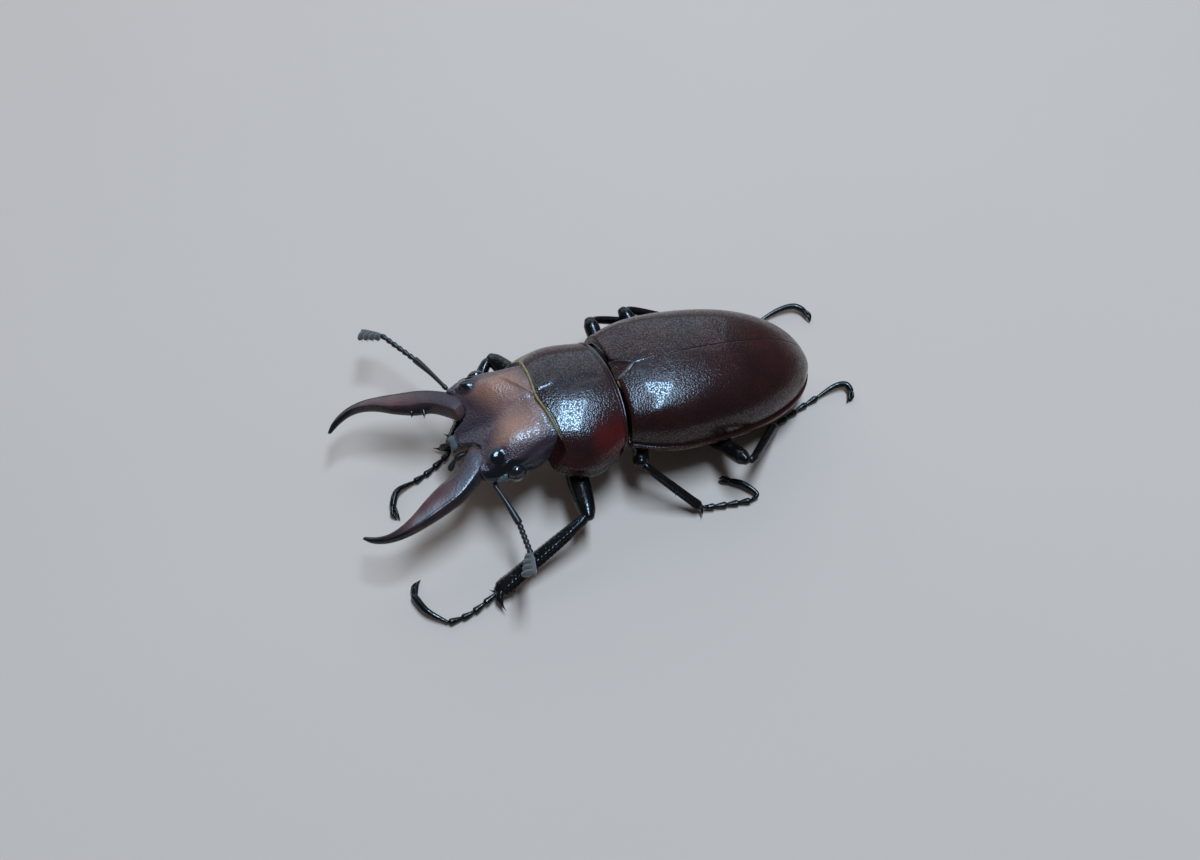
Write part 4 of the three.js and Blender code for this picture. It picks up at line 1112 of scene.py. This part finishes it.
# a shin: half width at its root, middle and tip, and its flatness
foreLeg = {"thigh": (1.0, 0.85), "shin": (0.5, 0.62, 0.78, 0.85), "teeth": foreTeeth}
midLeg = {"thigh": (0.78, 0.68), "shin": (0.36, 0.42, 0.5, 0.9), "teeth": hindTeeth}
hindLeg = {"thigh": (0.82, 0.72), "shin": (0.38, 0.44, 0.52, 0.9), "teeth": hindTeeth}
legs = {
    "left_fore": {
        **foreLeg, "hip": (3.3, -11.5, 3.4), "knee": (10.3, -12.3, 3.5), "ankle": (13.6, -21.6, 0.85),
        "foot": [(13.85, -22.35, 0.6), (14.6, -24.5, 0.3), (14.75, -26.4, 0.3)],
        "toe": [(14.7, -26.5, 0.32), (13.2, -27.9, 0.62), (11.35, -28.55, 0.5)],
        "claw": (9.9, -27.7, 0.1), "coxaTurn": 0.3, "fold": 0.25, "outward": 1,
    },
    "right_fore": {
        **foreLeg, "hip": (-3.3, -11.9, 3.4), "knee": (-8.95, -14.8, 3.55), "ankle": (-2.35, -21, 0.85),
        "foot": [(-1.85, -21.6, 0.6), (-0.75, -23.7, 0.3), (-0.1, -25.3, 0.3)],
        "toe": [(-0.08, -25.4, 0.32), (0.6, -27.1, 0.62), (2, -27.9, 0.5)],
        "claw": (3.3, -27.75, 0.1), "coxaTurn": 0.3, "fold": 0.6, "outward": -1,
    },
    "left_mid": {
        **midLeg, "hip": (3.2, -4.5, 2), "knee": (7.15, -6.1, 4.3), "ankle": (11.4, -1.8, 0.75),
        "foot": [(11.5, -1.15, 0.45), (11.85, 1.2, 0.3), (12.1, 3, 0.3)],
        "toe": [(12.1, 3.1, 0.3), (11.7, 3.8, 0.5), (10.4, 3, 0.62), (9.6, 2.05, 0.45)],
        "claw": (8.9, 1.25, 0.1), "coxaTurn": 0.2, "fold": 0.5, "outward": -1,
    },
    "right_mid": {
        **midLeg, "hip": (-3.2, -4.5, 2), "knee": (-9.8, -4.6, 4.05), "ankle": (-10.5, 2.4, 0.75),
        "foot": [(-10.5, 3.1, 0.45), (-10.45, 4.8, 0.3), (-10.3, 6.2, 0.3)],
        "toe": [(-10.28, 6.3, 0.3), (-10.1, 7.6, 0.62), (-9.65, 8.7, 0.62), (-9.15, 9.2, 0.45)],
        "claw": (-8.75, 9.9, 0.1), "coxaTurn": 0.2, "fold": 0.55, "outward": 1,
    },
    "left_hind": {
        **hindLeg, "hip": (3.2, 1, 1.6), "knee": (9.75, 2.85, 4), "ankle": (5.35, 8.6, 0.75),
        "foot": [(5.05, 9.3, 0.45), (4.05, 11.9, 0.3), (3.35, 14.2, 0.3)],
        "toe": [(3.32, 14.3, 0.3), (2.85, 16.3, 0.6), (3, 17.5, 0.62), (3.85, 17.75, 0.45)],
        "claw": (4.75, 16.95, 0.1), "coxaTurn": -0.2, "fold": 1.1, "outward": 1,
    },
    "right_hind": {
        **hindLeg, "hip": (-3.2, 1, 1.6), "knee": (-10.15, -0.9, 3.85), "ankle": (-8.2, 7.3, 0.8),
        "foot": [(-8.05, 8, 0.5), (-7.5, 10.6, 0.3), (-7.5, 12.9, 0.3)],
        "toe": [(-7.52, 13, 0.3), (-8.05, 15.4, 0.6), (-8, 17.2, 0.66), (-7.15, 18.1, 0.5)],
        "claw": (-5.95, 18.2, 0.1), "coxaTurn": -0.2, "fold": 0.6, "outward": -1,
    },
}
legShape = {
    "coxa": [(0, 0.45, 0.4), (0.2, 0.85, 0.7), (0.55, 1.0, 0.8), (0.85, 0.85, 0.72), (1, 0.55, 0.5)],
    "coxaLength": 1.9, "kneeReach": 0.4,
    "footJoint": [(0, 0.15), (0.2, 0.2), (0.75, 0.3), (0.95, 0.31), (1, 0.24)],
    "footJoints": 4, "bristles": 14,
    "toe": [(0, 0.15), (0.25, 0.22), (0.7, 0.31), (0.93, 0.31), (1, 0.24)],
    "claw": [(0, 0.19), (0.4, 0.17), (0.75, 0.11), (1, 0.03)], "clawSpread": 0.24,
    "grooves": 6, "grains": 24, "grainHeight": 0.06, "grooveDepth": 0.1, "swell": 0.05,
}
hairs = []  # every bristle of the feet: (root, way, length, thickness)


def finishLimb(piece, node):
    # flat soles: nothing goes below the floor, or past the solids
    low, high = cadBounds
    inside = 0.01 * mm
    for vertex in piece.data.vertices:
        vertex.co.z = max(vertex.co.z, 0.0)
        vertex.co.y = clamp(vertex.co.y, low[1] + inside, high[1] - inside)
    finishPiece(piece, "leg_black", node)


def makeThigh(name, leg, hip, end):
    inner = hip + Vector((-math.copysign(legShape["coxaLength"], hip.x), leg["coxaTurn"], -0.1))
    coxa = tube(f"hip_{name}", [inner, hip], legShape["coxa"], 28, 20)
    finishPiece(coxa, "leg_black", f"leg_{name}_coxa")
    thick, deep = leg["thigh"]
    stations = [(0, 0.42, 0.4), (0.07, 0.56, 0.52), (0.1, 0.52, 0.48), (0.38, thick, deep),
                (0.68, thick * 0.95, deep * 0.95), (0.92, 0.74, 0.68), (1, 0.5, 0.46)]
    finishPiece(tube(f"thigh_{name}", [hip, end], stations, 32, 44), "leg_black", f"leg_{name}_femur")


def shinFlute(turn, share):
    # long grooves, with a row of grains along each ridge
    s = legShape
    ridge = 0.5 + 0.5 * math.cos(s["grooves"] * turn)
    grain = 0.5 + 0.5 * math.cos(2 * math.pi * s["grains"] * share)
    relief = s["swell"] + s["grainHeight"] * ridge**3 * grain - s["grooveDepth"] * (1 - ridge)
    return between(share, 0.08, 0.3, 0.9, 1) * relief


def makeShin(name, leg, knee, ankle, thighWay):
    shinWay = (ankle - knee).normalized()
    out = (thighWay * leg["fold"] + shinWay).normalized()
    start = knee + out * 0.35
    path = [start, start + out * 0.55 + shinWay * 0.6, ankle]
    root, middle, tip, flatness = leg["shin"]
    deep = middle * flatness
    stations = [(0, root * 0.7), (0.06, root), (0.3, middle, deep), (0.6, lerp(middle, tip, 0.45), deep),
                (0.85, tip * 0.95, deep), (0.97, tip, deep), (1, tip * 0.7, middle * 0.7)]
    parts = [tube("shin_shaft", path, stations, 60, 144, flute=shinFlute)]
    at = pathOf(path)
    for share, reach, forward, toothThick, drop in leg["teeth"]:
        base, along = at(share)
        toothTip = base + sideways(along) * leg["outward"] * reach + along * forward + Vector((0, 0, drop))
        bend = 0.18 * math.copysign(1, reach) * leg["outward"]
        parts.append(thorn("shin_tooth", base, toothTip, toothThick, stancePose, bend))
    finishLimb(joined(f"shin_{name}", parts), f"leg_{name}_tibia")


def makeFoot(name, leg, ankle):
    # four short joints, each with bristles under its end
    first, *others = (Vector(p) for p in leg["foot"])
    foot = pathOf([ankle.lerp(first, 0.55), first, *others])
    count = legShape["footJoints"]
    parts = []
    for i in range(count):
        a, b, c = (foot((i + share) / count)[0] for share in (0, 0.5, 0.96))
        parts.append(tube("foot_joint", [a, b, c], legShape["footJoint"], 16, 14, cap=0.4))
        along = (c - a).normalized()
        side = sideways(along)
        for k in range(legShape["bristles"]):
            way = side * random.uniform(-1, 1) + Vector((0, 0, -0.5)) + along * random.uniform(0.8, 1.6)
            root = c - along * random.uniform(0.02, 0.15) + side * random.uniform(-0.2, 0.2)
            root.z -= 0.12
            hairs.append((stancePose @ root, way.normalized(), random.uniform(0.25, 0.45), 0.014))
    finishLimb(joined(f"foot_{name}", parts), f"leg_{name}_tarsus")


def makeToe(name, leg):
    # the long last joint and its pair of claws
    toe = pathOf(leg["toe"])
    parts = [tube("toe_shaft", leg["toe"], legShape["toe"], 18, 40, cap=0.5)]
    end, along = toe(0.93)[0], toe(1)[1]
    side = sideways(along)
    clawTip = Vector(leg["claw"])
    for way in (-1, 1):
        spread = side * way * legShape["clawSpread"]
        middle = end.lerp(clawTip, 0.5) + along * 0.3 + spread + Vector((0, 0, 0.16))
        parts.append(tube("claw", [end, middle, clawTip + spread * 0.6], legShape["claw"], 12, 24, cap=0.5))
    finishLimb(joined(f"toe_{name}", parts), f"leg_{name}_claws")


def makeLeg(name):
    leg = legs[name]
    hip, knee, ankle = (Vector(leg[key]) for key in ("hip", "knee", "ankle"))
    thighWay = (knee - hip).normalized()
    makeThigh(name, leg, hip, knee + thighWay * legShape["kneeReach"])
    makeShin(name, leg, knee, ankle, thighWay)
    makeFoot(name, leg, ankle)
    makeToe(name, leg)


random.seed(11)
for legName in legs:
    makeLeg(legName)
print("legs made")

# ---- hair: the golden fringe, the down of the combs and the bristles ----

hair = {
    "sides": 3, "joints": 4, "taper": 0.75, "patch": 0.0015,
    "fringe": 4200, "fringeRing": 0.004, "fringeDepth": 0.1, "fringeFrom": 0.1, "fringeTo": 0.47,
    "hind": 520, "hindMiddle": 0.55, "hindSpread": 0.5,
    "down": 520, "downColumns": 26, "soleColumns": 28,
}
straight = Vector((0, 0, 0))


def makeHairs(name, strands, slot):
    # a strand is (root, way, length, thickness, droop, u, v), where u and v say where its patch lies
    vertices, faces, patches = [], [], []
    sides, joints = hair["sides"], hair["joints"]
    for root, way, length, thick, droop, u, v in strands:
        side = way.cross(Vector((0.3, 0.1, 1))).normalized()
        rise = side.cross(way)
        first = len(vertices)
        for j in range(joints):
            share = j / joints
            centre = root + way * (length * mm * share) + droop * (length * mm * share**2)
            width = thick * mm * (1 - hair["taper"] * share)
            for k in range(sides):
                turn = 2 * math.pi * k / sides
                vertices.append(centre + side * (width * math.cos(turn)) + rise * (width * math.sin(turn)))
        vertices.append(root + way * (length * mm) + droop * (length * mm))
        tip = len(vertices) - 1
        faces.append([first + k for k in reversed(range(sides))])
        for j in range(joints - 1):
            for k in range(sides):
                a, b = first + j * sides + k, first + j * sides + (k + 1) % sides
                faces.append([a, b, b + sides, a + sides])
        last = first + (joints - 1) * sides
        faces += [[last + k, last + (k + 1) % sides, tip] for k in range(sides)]
        patches += [(u, v)] * (len(faces) - len(patches))
    mesh = bpy.data.meshes.new(name)
    mesh.from_pydata([tuple(p) for p in vertices], [], faces)
    layer = mesh.uv_layers.new(name="OFBake")
    corner = 0
    for face, (u, v) in zip(faces, patches):
        for n in range(len(face)):
            turn = 2 * math.pi * n / len(face)
            layer.data[corner].uv = (u + hair["patch"] * math.cos(turn), v + hair["patch"] * math.sin(turn))
            corner += 1
    piece = bpy.data.objects.new(name, mesh)
    bpy.context.collection.objects.link(piece)
    choose(piece)
    bpy.ops.object.shade_smooth()
    finishPiece(piece, slot)


def turnWay(pose, way):
    return (pose.to_3x3() @ Vector(way)).normalized()


def makeFringe():
    strands = []
    ring = collarRing(hair["fringeRing"], hair["fringeDepth"])
    for i in range(hair["fringe"]):
        share = (i + random.random()) / hair["fringe"]
        place = lerp(hair["fringeFrom"], hair["fringeTo"], share) * collar["columns"]
        k = int(place)
        p = ring[k].lerp(ring[k + 1], place - k)
        thin = min(1, 0.35 + 4 * share, 0.35 + 4 * (1 - share))
        layer = random.random()
        out = Vector((p.x * 0.12, 0, 1)).normalized()
        p = p + out * (0.08 - 0.22 * layer) + Vector((0, 0.1, 0))
        way = Vector((random.gauss(0, 0.2) + 0.02 * p.x, -1, random.gauss(0.02, 0.12)))
        length = thin * random.uniform(0.17, 0.27)
        thick = random.uniform(0.009, 0.015)
        droop = turnWay(forePose, (0, -0.1, -1)) * 0.35
        patch = lerp(0.05, 0.95, share), lerp(0.1, 0.4, layer)
        strands.append((forePose @ p, turnWay(forePose, way), length, thick, droop, *patch))
    makeHairs("fringe_front", strands, "fringe_gold")


def makeHindFringe():
    # the short golden hair on the base of the scutellum
    strands = []
    for i in range(hair["hind"]):
        x = random.gauss(hair["hindMiddle"], hair["hindSpread"])
        y = wing["front"] - 0.12 + random.uniform(0, 0.16)
        root = trunkPose @ Vector((x, y, wingCrown(y) + scutellum["rise"] - 0.34 - 0.02 * x * x))
        way = turnWay(trunkPose, (random.gauss(0, 0.25), 1, random.gauss(0.35, 0.15)))
        length, thick = random.uniform(0.16, 0.3), random.uniform(0.009, 0.014)
        droop = turnWay(trunkPose, (0, 0, -1)) * 0.2
        strands.append((root, way, length, thick, droop, 0.5 + 0.2 * x, random.uniform(0.5, 0.6)))
    makeHairs("fringe_hind", strands, "fringe_gold")


def gridPlace(i, columns):
    return (i % columns + 0.5) / columns, (i // columns + 0.5) / columns


def makeClubDown(name):
    # fine grey hair all over the leaves of the comb
    wrist, along, leafWay = combAxes(name)
    strands = []
    for i in range(hair["down"]):
        leaf = i % len(feelerShape["leaves"])
        out = random.uniform(0.1, 1.0) * leafReach(leaf)
        turn = random.uniform(0, 2 * math.pi)
        around = along.normalized() * math.cos(turn) * 0.2 + Vector((0, 0, math.sin(turn) * 0.33))
        root = wrist + along * feelerShape["leaves"][leaf] * 0.97 + leafWay * out + around * 0.9
        way = (around.normalized() + leafWay * random.uniform(0.2, 1.2)).normalized()
        length = random.uniform(0.08, 0.17)
        strands.append((stancePose @ root, way, length, 0.01, straight, *gridPlace(i, hair["downColumns"])))
    makeHairs(f"club_down_{name}", strands, "club_grey")


def makeBristles():
    strands = []
    for i, (root, way, length, thick) in enumerate(hairs):
        tip = root + way * length * mm
        if tip.z > 0.02 * mm and tip.y > cadBounds[0][1]:
            strands.append((root, way, length, thick, straight, *gridPlace(i, hair["soleColumns"])))
    makeHairs("foot_bristles", strands, "fringe_gold")


makeFringe()
makeHindFringe()
makeClubDown("left")
makeClubDown("right")
makeBristles()
print("hair made")

# ---- floor, light and camera ----

view = {
    "azimuth": 66.81, "elevation": 53.46, "roll": 3.11, "distance": 114.52, "target": (-0.20, -7.09, 0),
    "focal": 36, "sensor": 36, "nearest": 0.005,
}
studio = {
    # radiance, azimuth, elevation, way of the long side, distance, width and height in metres, colour
    "key": (36, -166.8, 79.9, -19, 0.45, 0.31, 0.09, (0.45, 0.71, 1.0)),
    "sky": (1.3, -92, 31, 90, 0.42, 0.62, 0.3, (0.68, 0.85, 1.0)),
    "air": (0.75, 0.88, 1.0, 1), "airStrength": 0.11,
    "floor": ((0.56, 0.38, 0.29), (0.6, 0.41, 0.315)), "floorSize": 3,
}


def makeFloor():
    deselect()
    bpy.ops.mesh.primitive_plane_add(size=studio["floorSize"])
    floor = bpy.context.object
    floor.name = floor.data.name = "studio_floor"
    g = Graph("paleFloor")
    floor.data.materials.append(g.finish(Base_Color=g.mix(g.noise(90), *studio["floor"]), Roughness=0.8))


def wayTo(azimuth, elevation):
    # towards a place that is given by its azimuth from the front and its elevation, in radians
    level = math.cos(elevation)
    return Vector((math.sin(azimuth) * level, -math.cos(azimuth) * level, math.sin(elevation)))


def setUp(name, data, place, turn):
    thing = bpy.data.objects.new(name, data)
    bpy.context.collection.objects.link(thing)
    thing.matrix_world = moved(place) @ turn
    return thing


def makePanel(name):
    # a panel that faces the model, its long side along the given way
    radiance, azimuth, elevation, way, distance, wide, high, colour = studio[name]
    data = bpy.data.lights.new(name + "_panel", "AREA")
    data.shape = "RECTANGLE"
    data.size, data.size_y = wide, high
    data.energy = radiance * math.pi * wide * high
    data.color = colour
    azimuth, elevation, way = (math.radians(value) for value in (azimuth, elevation, way))
    place = wayTo(azimuth, elevation) * distance
    back = place.normalized()
    along = Vector((math.cos(way), math.sin(way), 0))
    across = (along - back * along.dot(back)).normalized()
    setUp(name + "_panel", data, place, axes(across, back.cross(across), back))


def makeLight():
    world = bpy.context.scene.world or bpy.data.worlds.new("studio")
    bpy.context.scene.world = world
    world.use_nodes = True
    air = world.node_tree.nodes.get("Background")
    air.inputs["Color"].default_value = studio["air"]
    air.inputs["Strength"].default_value = studio["airStrength"]
    makePanel("key")
    makePanel("sky")
    bpy.context.scene.view_settings.view_transform = "Standard"


def makeCamera():
    azimuth, elevation, roll = (math.radians(view[key]) for key in ("azimuth", "elevation", "roll"))
    back = wayTo(azimuth, elevation)
    right = Vector((math.cos(azimuth), math.sin(azimuth), 0))
    up = back.cross(right)
    across = right * math.cos(roll) + up * math.sin(roll)
    above = up * math.cos(roll) - right * math.sin(roll)
    place = stancePose @ Vector(view["target"]) + back * view["distance"] * mm
    camera = setUp("camera", bpy.data.cameras.new("camera"), place, axes(across, above, back))
    camera.data.sensor_width = view["sensor"]
    camera.data.lens = view["focal"]
    camera.data.clip_start = view["nearest"]
    bpy.context.scene.camera = camera


makeFloor()
makeLight()
makeCamera()
print("stage made")
